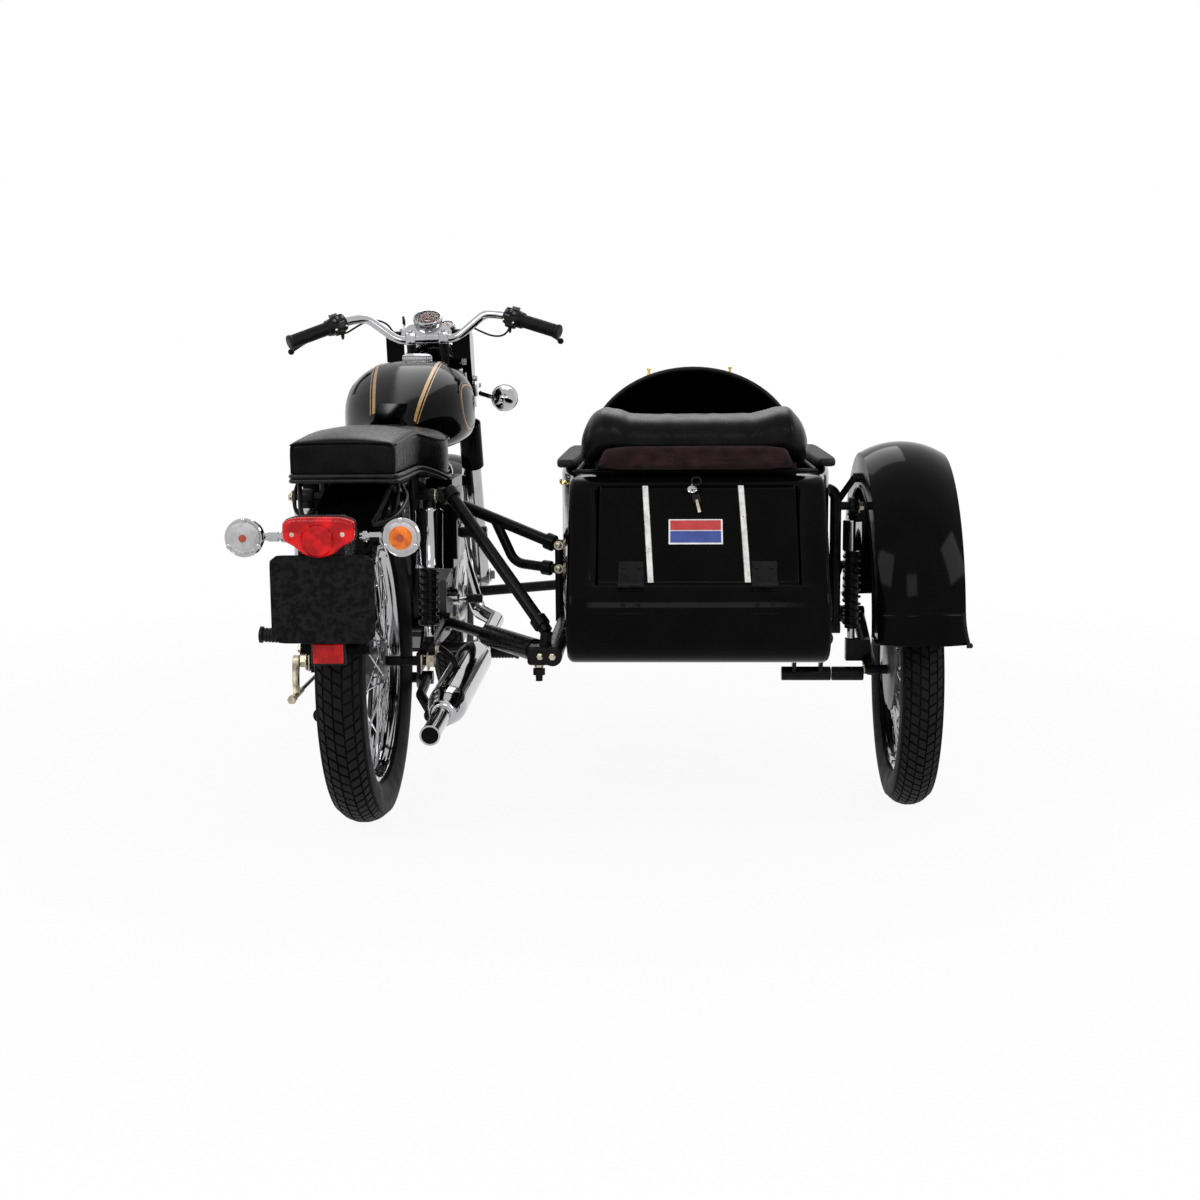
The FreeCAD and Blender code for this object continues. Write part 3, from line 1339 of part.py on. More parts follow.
def lid_block(name, grow):
    """The prism that marks the lid out of the tail's skin."""
    points = [
        (-150 + 40, d.car_deck - 12 + grow),
        (-230, d.car_deck - 12 + grow),
        (-400, LID_LOW + 30 - grow),
        (-340, LID_LOW - grow),
        (-240, LID_LOW - grow + 16),
    ]
    return plate(name, "YZ_Plane", points, (lid_half + grow) * 2, lift=centre - lid_half - grow)


opening = lid_block("lid_opening", gap / 2)
bulkhead_block = box("bulkhead_block", vector(centre - 400, -8, 300), vector(centre + 400, -8 + wall, 760))
bulkhead = common("bulkhead", bulkhead_block, tub_solid("bulkhead_room", wall / 2))
HINGE = vector(0, -306, 529.8)
leaf_skin = cut("leaf_skin", tub_solid("leaf_outer", -2.5), tub_solid("leaf_inner", 0.4))
lid_knuckles = []
lid_spans = []
tub_knuckles = []
tub_spans = []
for number, place_along in enumerate((centre - 101, centre + 42)):
    middle = vector(place_along, HINGE.y, HINGE.z)
    lid_knuckles.append(rod("lid_knuckle_%d" % number, middle - AXIS_X * 8, middle + AXIS_X * 8, 6, 2.8))
    lid_knuckles.append(box("lid_web_%d" % number, middle + vector(-7.5, 3.2, 3.4), middle + vector(7.5, 8.5, 10)))
    lid_spans.append(box("lid_tongue_%d" % number, middle + vector(-7.5, -30, 3), middle + vector(7.5, 60, 10)))
    lid_spans.append(box("lid_span_%d" % number, middle + vector(-18, -30, 9), middle + vector(18, 60, 38)))
    for end, side in enumerate((-1, 1)):
        start = middle + AXIS_X * side * 8.4
        tub_knuckles.append(rod("tub_knuckle_%d%d" % (number, end), start, middle + AXIS_X * side * 20, 6))
        low_x = 8.4 if side > 0 else -20
        tub_knuckles.append(box("tub_web_%d%d" % (number, end), middle + vector(low_x, -4.5, -11),
                                middle + vector(low_x + 11.6, 4, -3)))
    tub_knuckles.append(rod("tub_pin_%d" % number, middle - AXIS_X * 20, middle + AXIS_X * 20, 2.5))
    tub_spans.append(box("tub_span_%d" % number, middle + vector(-20, -60, -44), middle + vector(20, 60, -6.5)))
lid_hinges = common("lid_hinges", leaf_skin, fuse("lid_span_set", lid_spans))
tub_hinges = common("tub_hinges", tub_solid("leaf_outer_again", -2.5), fuse("tub_span_set", tub_spans))
tub_hinge_skin = cut("tub_hinge_skin", tub_hinges, tub_solid("leaf_inner_again", 0.4))
tub_cut = cut("tub_cut", tub_shell, fuse("tub_tools", [front_open, cockpit_open, opening]))
keep(fuse("tub_whole", [tub_cut, bulkhead, tub_hinge_skin] + tub_knuckles), "sidecar_tub", "chassis")
tub_shell_again = cut("lid_shell", tub_solid("lid_outer", 0.0), tub_solid("lid_inner", wall))
lid_panel = common("lid_panel", tub_shell_again, lid_block("lid_mark", -gap / 2))
keep(fuse("lid_whole", [lid_panel, lid_hinges] + lid_knuckles), "boot_lid", "boot_lid")

cushion = box("cushion", vector(centre - 232, 4, d.car_floor + wall + 0.5), vector(centre + 232, 470, 500))
back = plate("backrest", "YZ_Plane", [
    (4, 506),
    (4, 716.5),
    (-142, 716.5),
    (-150, 770),
    (-60, 832, -128, 822),
    (70, 800, 30, 838),
    (112, 506),
], 420, lift=centre - 210)
keep(back, "sidecar_backrest", "chassis")
keep(trimmed("cushion_trim", cushion, [back]), "sidecar_cushion", "chassis")
pads = []
for side in (-1, 1):
    pads.append(box("deck_pad_%d" % (side + 1), vector(centre + side * 264 - 22, 20, d.car_deck + 0.3),
                    vector(centre + side * 264 + 22, 560, d.car_deck + 30)))
keep(group("deck_pad_pair", pads), "deck_pads", "chassis")

# Sidecar mudguard, arm, damper and chassis
car_guard, car_turn = mudguard("car_blade", d.car_guard_radius, d.car_guard_half_width, d.car_guard_skirt,
                               d.guard_sheet, 0, 180, crown=0.14)
place(car_guard, vector(car_guard_centre, d.car_wheel_forward, d.car_guard_height), car_turn)
keep(car_guard, "sidecar_mudguard", "chassis")

rail_z = float(d.car_floor - d.car_tube_radius) - 0.3
tube = d.car_tube_radius
left_rail = rod("car_left_rail", vector(car_rail_left, -150, rail_z), vector(car_rail_left, 1040, rail_z), tube)
right_rail = rod("car_right_rail", vector(car_rail_right, 66, rail_z), vector(car_rail_right, 1040, rail_z), tube)
crossings = []
for number, (forward, thick) in enumerate(((86, tube), (420, tube), (1020, tube))):
    crossings.append(rod("car_cross_%d" % number, vector(car_rail_left, forward, rail_z),
                         vector(car_rail_right, forward, rail_z), thick))
upright = rod("car_upright", vector(377, 300, rail_z), vector(377, 300, 546), 9)
end_lug = box("car_end_lug", vector(342, -126, 346), vector(car_rail_left, -86, 378))
arm_axis = d.car_arm_forward
arm_start = car_arm_reach - d.car_arm_radius * 2 - 6
arm_boss = rod("car_arm_boss", vector(car_rail_right, arm_axis, rail_z), vector(arm_start, arm_axis, rail_z), tube)
tower_line = d.car_tower_forward
tower_top = d.car_damper_top + d.car_tower_radius * 3
tower = bent_tube("car_tower", [
    vector(car_tower_reach, tower_line, rail_z),
    vector(car_tower_reach, tower_line, tower_top),
    vector(car_rail_right - 20, tower_line, tower_top),
], d.car_tower_radius, d.car_tower_radius * 1.8)
tower_foot = rod("car_tower_foot", vector(car_rail_right, tower_line, rail_z),
                 vector(car_tower_reach + d.car_tower_radius, tower_line, rail_z), d.car_tower_radius)
tower_head = rod("car_tower_head", vector(car_tower_reach, tower_line, d.car_damper_top),
                 vector(car_damper_reach + 14, tower_line, d.car_damper_top), 9)
guard_face = car_guard_centre - d.car_guard_half_width - d.bead_fit
guard_stays = [
    rod("car_guard_stay_0", vector(car_tower_reach, tower_line, 632), vector(guard_face - 6.7, 186, 690), 7),
    rod("car_guard_pad_0", vector(guard_face - 10.7, 186, 689), vector(guard_face, 186, 689), 10),
    rod("car_guard_link", vector(car_rail_right, 440, rail_z), vector(car_tower_reach + 8, 440, rail_z), 9),
    rod("car_guard_stay_1", vector(car_tower_reach + 4, 440, rail_z), vector(guard_face - 6.7, 462, 470), 7),
    rod("car_guard_pad_1", vector(guard_face - 10.7, 462, 469), vector(guard_face, 462, 469), 10),
]
eye_bolt_foot = vector(car_rail_left - 30, -106, 352)
eye_bolt_end = eye_bolt_foot - AXIS_Z * float(d.eye_bolt_drop + d.eye_bolt_radius)
guard_stays.append(rod("eye_bolt", eye_bolt_foot, eye_bolt_end, d.eye_bolt_radius))
guard_stays.append(rod("eye_bolt_nut", eye_bolt_foot - AXIS_Z * float(d.eye_bolt_drop * 0.5),
                       eye_bolt_foot - AXIS_Z * float(d.eye_bolt_drop * 0.85), d.eye_bolt_nut))
frame_parts = [left_rail, right_rail, upright, end_lug, arm_boss, tower, tower_foot, tower_head]
frame_parts += crossings + guard_stays
keep(trimmed("car_frame_trim", fuse("car_frame", frame_parts), [tub_solid("frame_room", 0.0)]), "sidecar_frame",
     "chassis")

arm_points = [
    vector(arm_start + d.bead_fit, arm_axis, rail_z),
    vector(car_arm_reach, arm_axis, rail_z),
    vector(car_arm_reach, d.car_wheel_forward, d.car_tyre_radius),
]
car_arm = bent_tube("car_arm_bar", arm_points, d.car_arm_radius, 20)
car_stub = rod("car_stub", vector(car_arm_reach - 12, d.car_wheel_forward, d.car_tyre_radius),
               vector(float(car_wheel_reach) + 62, d.car_wheel_forward, d.car_tyre_radius), d.axle_radius)
arm_tab = box("car_arm_tab", vector(car_damper_reach - 12, tower_line - 14, 296),
              vector(car_arm_reach + 2, tower_line + 14, 342))
keep(fuse("car_arm", [car_arm, car_stub, arm_tab]), "sidecar_swing_arm", "chassis")
damper_top = vector(car_damper_reach, tower_line, d.car_damper_top)
damper_parts = [
    rod("car_damper_cover", damper_top - AXIS_Z * 128, damper_top - AXIS_Z * 18, d.car_damper_radius),
    rod("car_damper_rod", vector(car_damper_reach, tower_line, 342.3), damper_top - AXIS_Z * 127, 12),
    rod("car_damper_eye", damper_top - AXIS_X * 9, damper_top + AXIS_X * 9, 19, 9.2),
]
keep(fuse("car_damper", damper_parts), "sidecar_damper", "chassis")

strut_rear_low = vector(378, -106, 408)
strut_rear_bar = rod("strut_rear_bar", vector(166, 62, 672), strut_rear_low, 13)
strut_rear_eye = rod("strut_rear_eye", vector(145, 62, 664), vector(160, 62, 664), 18)
strut_rear_foot = rod("strut_rear_foot", strut_rear_low, vector(372, -106, 360), 12)
strut_rear_hole = rod("strut_rear_hole", vector(120, 62, 664), vector(180, 62, 664), 8.2)
strut_rear = trimmed("strut_rear_trim", fuse("strut_rear_joined", [strut_rear_bar, strut_rear_eye, strut_rear_foot]),
                     [strut_rear_hole, end_lug, left_rail])
strut_front_bar = rod("strut_front_bar", vector(24, 419, 666), vector(374, 300, 535), 13)
strut_front_bend = bent_tube("strut_front_bend", [vector(232, 347, 586), vector(276, 332, 492), vector(374, 300, 482)],
                             11, 40)
strut_front = trimmed("strut_front_trim", fuse("strut_front_set", [strut_front_bar, strut_front_bend]),
                      [seat_tube, upright])
keep(group("strut_pair", [strut_rear, strut_front]), "sidecar_struts", "chassis")
beam_rear = trimmed("beam_rear_trim", rod("beam_rear", vector(118, 378, 350), vector(366, -88, 364), 12),
                    [end_lug, rear_fork, left_rail])
beam_front = trimmed("beam_front_trim", rod("beam_front", vector(4, 898, 338), vector(car_rail_left, 930, rail_z), 13),
                     [down_lug, left_rail])
keep(group("beam_pair", [beam_rear, beam_front]), "sidecar_beams", "chassis")

# Finish: the steering stands at its rest angle, and the origin goes under the middle of the whole
STEER_TURN = turn(UP_FORK, STEER_REST)
STEERED = ("steering", "front_wheel")


def steered(point):
    """Where a point of the steering assembly stands at its rest angle."""
    return STEER_FOOT + STEER_TURN.multVec(point - STEER_FOOT)


doc.recompute()
failed = [item.Name for item in doc.Objects if "Invalid" in item.State or "Error" in item.State]
if failed:
    raise RuntimeError("failed: %s" % ", ".join(failed))
SWING = FreeCAD.Placement(steered(ORIGIN), STEER_TURN)


def at_rest(piece, shift):
    """A piece's shape where it stands when the machine is parked."""
    shape = piece.Shape.copy()
    stand = FreeCAD.Placement(shift, NO_TURN)
    if BODY_OF[piece.Label] in STEERED:
        stand = stand.multiply(SWING)
    shape.Placement = stand.multiply(shape.Placement)
    return shape


whole = FreeCAD.BoundBox()
for piece in PIECES:
    whole.add(at_rest(piece, ORIGIN).optimalBoundingBox(True, False))
SHIFT = vector(-(whole.XMin + whole.XMax) / 2, -(whole.YMin + whole.YMax) / 2, 0)
os.makedirs("parts", exist_ok=True)
for piece in PIECES:
    finished = at_rest(piece, SHIFT)
    if finished.isNull() or not finished.isValid():
        raise RuntimeError("bad shape: %s" % piece.Label)
    finished.exportStep("parts/%s.step" % piece.Label)
print("shift", SHIFT, "size", whole.XLength, whole.YLength, whole.ZMin, whole.ZMax, "pieces", len(PIECES))
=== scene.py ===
from math import asin, atan2, copysign, cos, exp, hypot, pi, radians, sin

import bmesh
import bpy
from bpy.props import FloatProperty, FloatVectorProperty, IntProperty, PointerProperty
from mathutils import Matrix, Vector
from mathutils.bvhtree import BVHTree


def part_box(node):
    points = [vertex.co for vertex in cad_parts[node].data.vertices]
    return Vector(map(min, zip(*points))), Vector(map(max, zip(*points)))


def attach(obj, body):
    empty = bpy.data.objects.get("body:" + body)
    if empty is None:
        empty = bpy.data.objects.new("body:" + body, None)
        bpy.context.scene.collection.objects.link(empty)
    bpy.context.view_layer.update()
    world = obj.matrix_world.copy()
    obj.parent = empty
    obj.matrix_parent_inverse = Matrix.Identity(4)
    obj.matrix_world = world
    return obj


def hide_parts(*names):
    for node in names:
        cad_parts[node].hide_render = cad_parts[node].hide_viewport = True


bl_info = {
    "name": "Sidecar outfit",
    "version": (1, 0, 0),
    "blender": (4, 5, 0),
    "location": "View3D > Sidebar > Outfit",
    "description": "Builds the visible pieces of a motorcycle with a sidecar around its packed frame",
    "category": "Add Mesh",
}

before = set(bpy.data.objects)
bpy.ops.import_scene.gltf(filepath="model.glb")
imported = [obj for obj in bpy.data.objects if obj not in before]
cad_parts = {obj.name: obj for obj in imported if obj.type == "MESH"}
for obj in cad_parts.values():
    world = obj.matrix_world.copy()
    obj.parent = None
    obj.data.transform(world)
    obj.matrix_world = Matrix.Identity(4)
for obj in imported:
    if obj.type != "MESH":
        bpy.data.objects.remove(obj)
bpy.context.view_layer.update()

# Outlines are written in millimetres in the machine's own frame: its centre plane is x = 0, the rear axle
# is at y = 0 and the floor is z = 0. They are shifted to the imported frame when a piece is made.
MM = 0.001
REAR_LOW, REAR_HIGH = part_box("rear_tyre")
ORIGIN = Vector(((REAR_LOW.x + REAR_HIGH.x) / 2, (REAR_LOW.y + REAR_HIGH.y) / 2, 0.0))
STEER_REST = radians(4.0)
FORK_LEAN = radians(62.5)
UP_FORK = Vector((0.0, -cos(FORK_LEAN), sin(FORK_LEAN)))
AHEAD_FORK = Vector((0.0, sin(FORK_LEAN), cos(FORK_LEAN)))
REAR_AXLE = Vector((0.0, 0.0, 330.0))
FRONT_AXLE = Vector((0.0, 1370.0, 325.0))
CAR_AXLE = Vector((1120.0, 147.0, 285.0))
FORK_OFFSET = 60.0
STEER_FOOT = FRONT_AXLE - AHEAD_FORK * FORK_OFFSET
STEERED = ("steering", "front_wheel")
X, Y, Z = Vector((1, 0, 0)), Vector((0, 1, 0)), Vector((0, 0, 1))
FINISHES = {}

# The sidecar's tub: its middle, deck, floor, the end of its straight part, half widths and cowl
CAR, TUB_TOP, TUB_FLOOR, SCUTTLE = 675.0, 716.0, 385.0, 650.0
TUB_HALF, TAIL_HALF, COCKPIT_HALF, LID_HALF, LID_GAP = 286.0, 246.0, 240.0, 186.5, 5.0
COWL_HALF, COWL_RISE, NOSE_LENGTH = 245.0, 198.0, 680.0

# The photograph's camera in the machine's own frame, in metres, degrees and millimetres of focal length
CAMERA_PLACE = Vector((0.628, -3.453, 0.958))
CAMERA_YAW, CAMERA_PITCH, CAMERA_ROLL = 2.46, 8.27, -0.44
CAMERA_LENS, SENSOR_WIDTH, CAMERA_REACH = 51.45, 36.0, 50.0

# Each lamp's name, place, aim and size in metres, and its power in watts
LAMPS = (("key", (-1.9, -2.6, 3.0), (0.4, 0.2, 0.5), 1.6, 46.0),
         ("side", (3.4, -1.2, 2.2), (0.6, 0.2, 0.4), 1.3, 34.0),
         ("back", (0.4, 3.2, 3.2), (0.4, 0.2, 0.6), 2.0, 30.0),
         ("front", (0.6, -3.8, 2.4), (0.5, 0.0, 0.4), 1.0, 16.0))
WORLD_LIGHT = 0.5
# The floor's half width, its colour, and how much white the camera sees of it near by and far off
FLOOR_REACH, FLOOR_GREY, NEAR_WHITE, FAR_WHITE, NEAR, FAR = 40.0, 0.86, 0.93, 1.0, 1.0, 3.0

# The real tyres: centre, radius, half width, bead radius, body and node
TYRES = {"rear": (REAR_AXLE, 330.0, 49.0, 241.0, "rear_wheel", "rear_tyre"),
         "front": (FRONT_AXLE, 325.0, 45.0, 241.0, "front_wheel", "front_tyre"),
         "sidecar": (CAR_AXLE, 285.0, 44.0, 203.0, "sidecar_wheel", "sidecar_tyre")}
DRUMS = {"rear": 84.0, "front": 84.0, "sidecar": 80.0}
FLANGE = 42.0

# The way the instruments face, and the handlebar's grip ends
DIAL_AXIS = Vector((0, -27, 46))
GRIP_ROOT, GRIP_TIP = (200, 968, 1044), (334, 890, 996)


def to_frame(body):
    """The matrix from the machine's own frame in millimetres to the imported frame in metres."""
    matrix = Matrix.Translation(ORIGIN) @ Matrix.Scale(MM, 4)
    if body in STEERED:
        turn = Matrix.Rotation(STEER_REST, 4, UP_FORK)
        matrix = matrix @ Matrix.Translation(STEER_FOOT) @ turn @ Matrix.Translation(-STEER_FOOT)
    return matrix


def on_fork(along, ahead=0.0, aside=0.0):
    """A point measured up the steering axis, ahead of it and aside."""
    return STEER_FOOT + UP_FORK * along + AHEAD_FORK * ahead + X * aside


def basis(along):
    """A direction with two more at right angles to it."""
    along = along.normalized()
    side = along.cross(Z)
    if side.length < 0.05:
        side = along.cross(Y)
    side.normalize()
    return along, side, side.cross(along)


def arc(across, up, radius, begin, end, steps, tall=None):
    """Points of a round or oval stretch between two angles, with both ends."""
    tall = radius if tall is None else tall
    angles = [begin + (end - begin) * step / steps for step in range(steps + 1)]
    return [(across + radius * cos(angle), up + tall * sin(angle)) for angle in angles]


def ribs(start, pitch, count, low, high, width, rise):
    """Profile points of moulded ribs that rise from a low to a high radius."""
    points = []
    for number in range(count):
        at = start + pitch * number
        points += [(at, low), (at + rise, high), (at + width - rise, high), (at + width, low)]
    return points


class Form:
    """Collects the faces of one piece in millimetres and makes its object."""

    def __init__(self):
        self.points = []
        self.faces = []

    def add(self, points, faces):
        """Take in points and faces."""
        start = len(self.points)
        self.points += [Vector(point) for point in points]
        self.faces += [tuple(index + start for index in face) for face in faces]
        return self

    def loft(self, rings, closed=True, ends=True, loop=False):
        """Skin a row of rings that have the same number of points."""
        count = len(rings[0])
        points = [point for ring in rings for point in ring]
        faces = []
        last = len(rings) if loop else len(rings) - 1
        for row in range(last):
            for column in range(count if closed else count - 1):
                right = (column + 1) % count
                low, high = row * count, ((row + 1) % len(rings)) * count
                faces.append((low + column, low + right, high + right, high + column))
        if ends and closed and not loop:
            faces.append(tuple(reversed(range(count))))
            faces.append(tuple(range((len(rings) - 1) * count, len(rings) * count)))
        return self.add(points, faces)

    def lathe(self, centre, axis, profile, steps=48, loop=False):
        """Turn a profile of (along, radius) about an axis."""
        axis, side, up = basis(Vector(axis))
        spokes = [side * u + up * v for u, v in arc(0, 0, 1, 0, 2 * pi, steps)[:-1]]
        rings = [[Vector(centre) + axis * along + spoke * radius for spoke in spokes]
                 for along, radius in profile]
        return self.loft(rings, ends=not loop, loop=loop)

    def rod(self, start, end, radius, end_radius=None, steps=16):
        """A straight round bar."""
        start, end = Vector(start), Vector(end)
        far = radius if end_radius is None else end_radius
        lip = min(1.2, radius * 0.2, far * 0.2) if far > 0 else 0.0
        length = (end - start).length
        profile = [(0, radius - lip), (lip, radius), (length - lip, far), (length, far - lip)]
        return self.lathe(start, end - start, profile, steps)

    def tube(self, points, radius, steps=12, smooth=4, ends=True):
        """A round bar along a smooth line through points. The radius may be a list."""
        line = [Vector(point) for point in points]
        if smooth > 1:
            line = curve_through(line, smooth)
        sizes = radius if isinstance(radius, (list, tuple)) else [radius, radius]
        rings = []
        side = None
        for number, point in enumerate(line):
            ahead = line[min(number + 1, len(line) - 1)] - line[max(number - 1, 0)]
            ahead.normalize()
            if side is None:
                side = basis(ahead)[1]
            side = (side - ahead * side.dot(ahead)).normalized()
            up = ahead.cross(side)
            share = number / (len(line) - 1) * (len(sizes) - 1)
            low = min(int(share), len(sizes) - 2)
            size = sizes[low] + (sizes[low + 1] - sizes[low]) * (share - low)
            rings.append([point + (side * cos(a) + up * sin(a)) * size
                          for a in (2 * pi * step / steps for step in range(steps))])
        return self.loft(rings, ends=ends)

    def slab(self, centre, size, turn=None, round_by=2.0):
        """A block with chamfered edges, turned about its centre."""
        half = Vector(size) / 2
        cut = min(round_by, half.x, half.y, half.z)
        turn = turn or Matrix.Identity(3)
        shell = bmesh.new()
        bmesh.ops.create_cube(shell, size=2.0)
        for vertex in shell.verts:
            vertex.co = Vector((vertex.co.x * half.x, vertex.co.y * half.y, vertex.co.z * half.z))
        bmesh.ops.bevel(shell, geom=list(shell.edges), offset=cut, segments=3, profile=0.5, affect="EDGES")
        shell.verts.index_update()
        points = [Vector(centre) + turn @ vertex.co for vertex in shell.verts]
        faces = [tuple(vertex.index for vertex in face.verts) for face in shell.faces]
        shell.free()
        return self.add(points, faces)

    def bolt(self, centre, axis, radius, height=None, sides=6):
        """A bolt's head with its washer; the axis points out of the surface."""
        height = height or radius * 0.9
        self.lathe(centre, axis, [(0, radius * 1.45), (radius * 0.22, radius * 1.45)], 18)
        self.lathe(centre, axis, [(radius * 0.2, radius), (height, radius),
                                  (height + radius * 0.12, radius * 0.8)], sides)
        return self

    def plate(self, outline, depth, corner, across, up):
        """A flat plate: an outline of (across, up) points at a corner, thickened by a depth vector."""
        corner, across, up, depth = Vector(corner), Vector(across), Vector(up), Vector(depth)
        low = [corner + across * x + up * y for x, y in outline]
        return self.loft([low, [point + depth for point in low]])

    def pad(self, name, finish, fill, replaces=()):
        """Make a padded piece of the chassis."""
        self.piece(name, finish, replaces=replaces, subdivide=1, sharp=180)

    def piece(self, name, finish, body="chassis", replaces=(), sharp=35.0, subdivide=0, thick=0.0):
        """Make the object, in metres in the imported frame, riding on its body."""
        mesh = bpy.data.meshes.new(name)
        mesh.from_pydata([tuple(point) for point in self.points], [], self.faces)
        mesh.transform(to_frame(body))
        shell = bmesh.new()
        shell.from_mesh(mesh)
        bmesh.ops.remove_doubles(shell, verts=shell.verts, dist=0.00002)
        bmesh.ops.dissolve_degenerate(shell, edges=shell.edges, dist=0.00001)
        bmesh.ops.recalc_face_normals(shell, faces=shell.faces)
        shell.to_mesh(mesh)
        shell.free()
        thing = bpy.data.objects.new(name, mesh)
        bpy.context.scene.collection.objects.link(thing)
        mesh.materials.append(finish)
        mesh.shade_smooth()
        if subdivide:
            layer = thing.modifiers.new("smooth", "SUBSURF")
            layer.levels = layer.render_levels = subdivide
        if thick:
            layer = thing.modifiers.new("wall", "SOLIDIFY")
            layer.thickness = thick * MM
            layer.offset = -1.0
        if sharp < 179:
            mesh.set_sharp_from_angle(angle=radians(sharp))
        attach(thing, body)
        if replaces:
            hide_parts(*replaces)
        return thing


def curve_through(points, steps):
    """A smooth line through points."""
    if len(points) < 3:
        return [points[0].lerp(points[-1], step / steps) for step in range(steps + 1)]
    line = []
    for number in range(len(points) - 1):
        before = points[max(number - 1, 0)]
        start, end = points[number], points[number + 1]
        after = points[min(number + 2, len(points) - 1)]
        for step in range(steps):
            t = step / steps
            line.append(0.5 * ((2 * start) + (end - before) * t
                               + (2 * before - 5 * start + 4 * end - after) * t * t
                               + (3 * start - before - 3 * end + after) * t ** 3))
    line.append(points[-1])
    return line


def arc_through(start, middle, end, steps):
    """Points of a flat arc through three (y, z) points."""
    ax, ay, bx, by, cx, cy = *start, *middle, *end
    d = 2 * (ax * (by - cy) + bx * (cy - ay) + cx * (ay - by))
    ux = ((ax ** 2 + ay ** 2) * (by - cy) + (bx ** 2 + by ** 2) * (cy - ay)
          + (cx ** 2 + cy ** 2) * (ay - by)) / d
    uy = ((ax ** 2 + ay ** 2) * (cx - bx) + (bx ** 2 + by ** 2) * (ax - cx)
          + (cx ** 2 + cy ** 2) * (bx - ax)) / d
    first = atan2(ay - uy, ax - ux)
    mid = atan2(by - uy, bx - ux)
    last = atan2(cy - uy, cx - ux)
    radius = hypot(ax - ux, ay - uy)
    sweep = (last - first) % (2 * pi)
    if (mid - first) % (2 * pi) > sweep:
        sweep -= 2 * pi
    return arc(ux, uy, radius, first, first + sweep, steps)


def mix_between(nodes, links, share, first, second):
    """A colour mix between two plain colours."""
    mix = nodes.new("ShaderNodeMix")
    mix.data_type = "RGBA"
    mix.inputs["A"].default_value = (*first, 1.0)
    mix.inputs["B"].default_value = (*second, 1.0)
    links.new(share, mix.inputs["Factor"])
    return mix.outputs["Result"]


def texture(nodes, links, place, kind, **values):
    """A texture read in the object's own coordinates."""
    node = nodes.new("ShaderNodeTex" + kind)
    for name, value in values.items():
        node.inputs[name].default_value = value
    links.new(place.outputs["Object"], node.inputs["Vector"])
    return node


def span(nodes, values):
    """A node that maps one range of numbers onto another."""
    node = nodes.new("ShaderNodeMapRange")
    for name, value in zip(("From Min", "From Max", "To Min", "To Max"), values):
        node.inputs[name].default_value = value
    return node


def sum_of(nodes, links, operation, first, second):
    """The output of a sum on two other outputs."""
    node = nodes.new("ShaderNodeMath")
    node.operation = operation
    links.new(first, node.inputs[0])
    links.new(second, node.inputs[1])
    return node.outputs["Value"]


def finish(name, colour, rough=0.4, metal=0.0, mottle=(0.12, 40), grain=(0, 400), haze=0.05, coat=0.0,
           sheen=0.0, specular=0.5, second=None, clear=0.0, pattern="noise", glow=0.0, bend=1.5):
    """A surface of its own. Mottle and grain are each a strength and a scale per metre."""
    if name in FINISHES:
        return FINISHES[name]
    (vary, vary_scale), (depth, grain_scale) = mottle, grain
    material = bpy.data.materials.new(name)
    material.use_nodes = True
    nodes, links = material.node_tree.nodes, material.node_tree.links
    shader = nodes["Principled BSDF"]
    for socket, value in (("Metallic", metal), ("Coat Weight", coat), ("Coat Roughness", 0.05),
                          ("Sheen Weight", sheen), ("Specular IOR Level", specular),
                          ("Transmission Weight", clear), ("IOR", bend)):
        shader.inputs[socket].default_value = value
    # Painted glow: an emission of the surface's own colour stands in for light through a lens that is not
    # lit.
    if glow:
        shader.inputs["Emission Color"].default_value = (*colour, 1.0)
        shader.inputs["Emission Strength"].default_value = glow
    place = nodes.new("ShaderNodeTexCoord")
    cloud = texture(nodes, links, place, "Noise", Scale=vary_scale, Detail=6.0)
    other = second or tuple(min(1.0, channel * (1 + vary * 3) + vary * 0.01) for channel in colour)
    spread = span(nodes, (0.42, 0.58) if second else (0.3, 0.7))
    links.new(cloud.outputs["Fac"], spread.inputs["Value"])
    shade = tuple(channel * (1 - vary) for channel in colour)
    links.new(mix_between(nodes, links, spread.outputs["Result"], shade, other), shader.inputs["Base Color"])
    gloss = span(nodes, (0.3, 0.7, max(0.02, rough - haze), min(1.0, rough + haze)))
    links.new(cloud.outputs["Fac"], gloss.inputs["Value"])
    links.new(gloss.outputs["Result"], shader.inputs["Roughness"])
    if depth:
        if pattern == "weave":
            waves = []
            for axis in ("X", "Y"):
                wave = texture(nodes, links, place, "Wave", Scale=grain_scale, Distortion=1.5)
                wave.bands_direction = axis
                waves.append(wave.outputs["Fac"])
            height = sum_of(nodes, links, "ADD", *waves)
        elif pattern == "leather":
            height = texture(nodes, links, place, "Voronoi", Scale=grain_scale).outputs["Distance"]
        elif pattern == "flutes":
            wave = texture(nodes, links, place, "Wave", Scale=grain_scale)
            wave.bands_direction = "X"
            height = wave.outputs["Fac"]
        else:
            height = texture(nodes, links, place, "Noise", Scale=grain_scale, Detail=4.0).outputs["Fac"]
        bump = nodes.new("ShaderNodeBump")
        bump.inputs["Strength"].default_value = depth
        bump.inputs["Distance"].default_value = 0.001
        links.new(height, bump.inputs["Height"])
        links.new(bump.outputs["Normal"], shader.inputs["Normal"])
    FINISHES[name] = material
    return material


def tint(name):
    """The three plain numbers of one of the panel's colours."""
    return tuple(getattr(colours(), name))[:3]


def paint():
    """Gloss black paint."""
    return finish("black_paint", tint("paint"), rough=0.08, mottle=(0.1, 12), grain=(0.02, 900), haze=0.03,
                  specular=0.035)


def satin_black():
    """Satin black enamel on frames and brackets."""
    return finish("satin_black", (0.004, 0.004, 0.0042), rough=0.3, mottle=(0.25, 60), grain=(0.1, 700),
                  haze=0.1, specular=0.1)


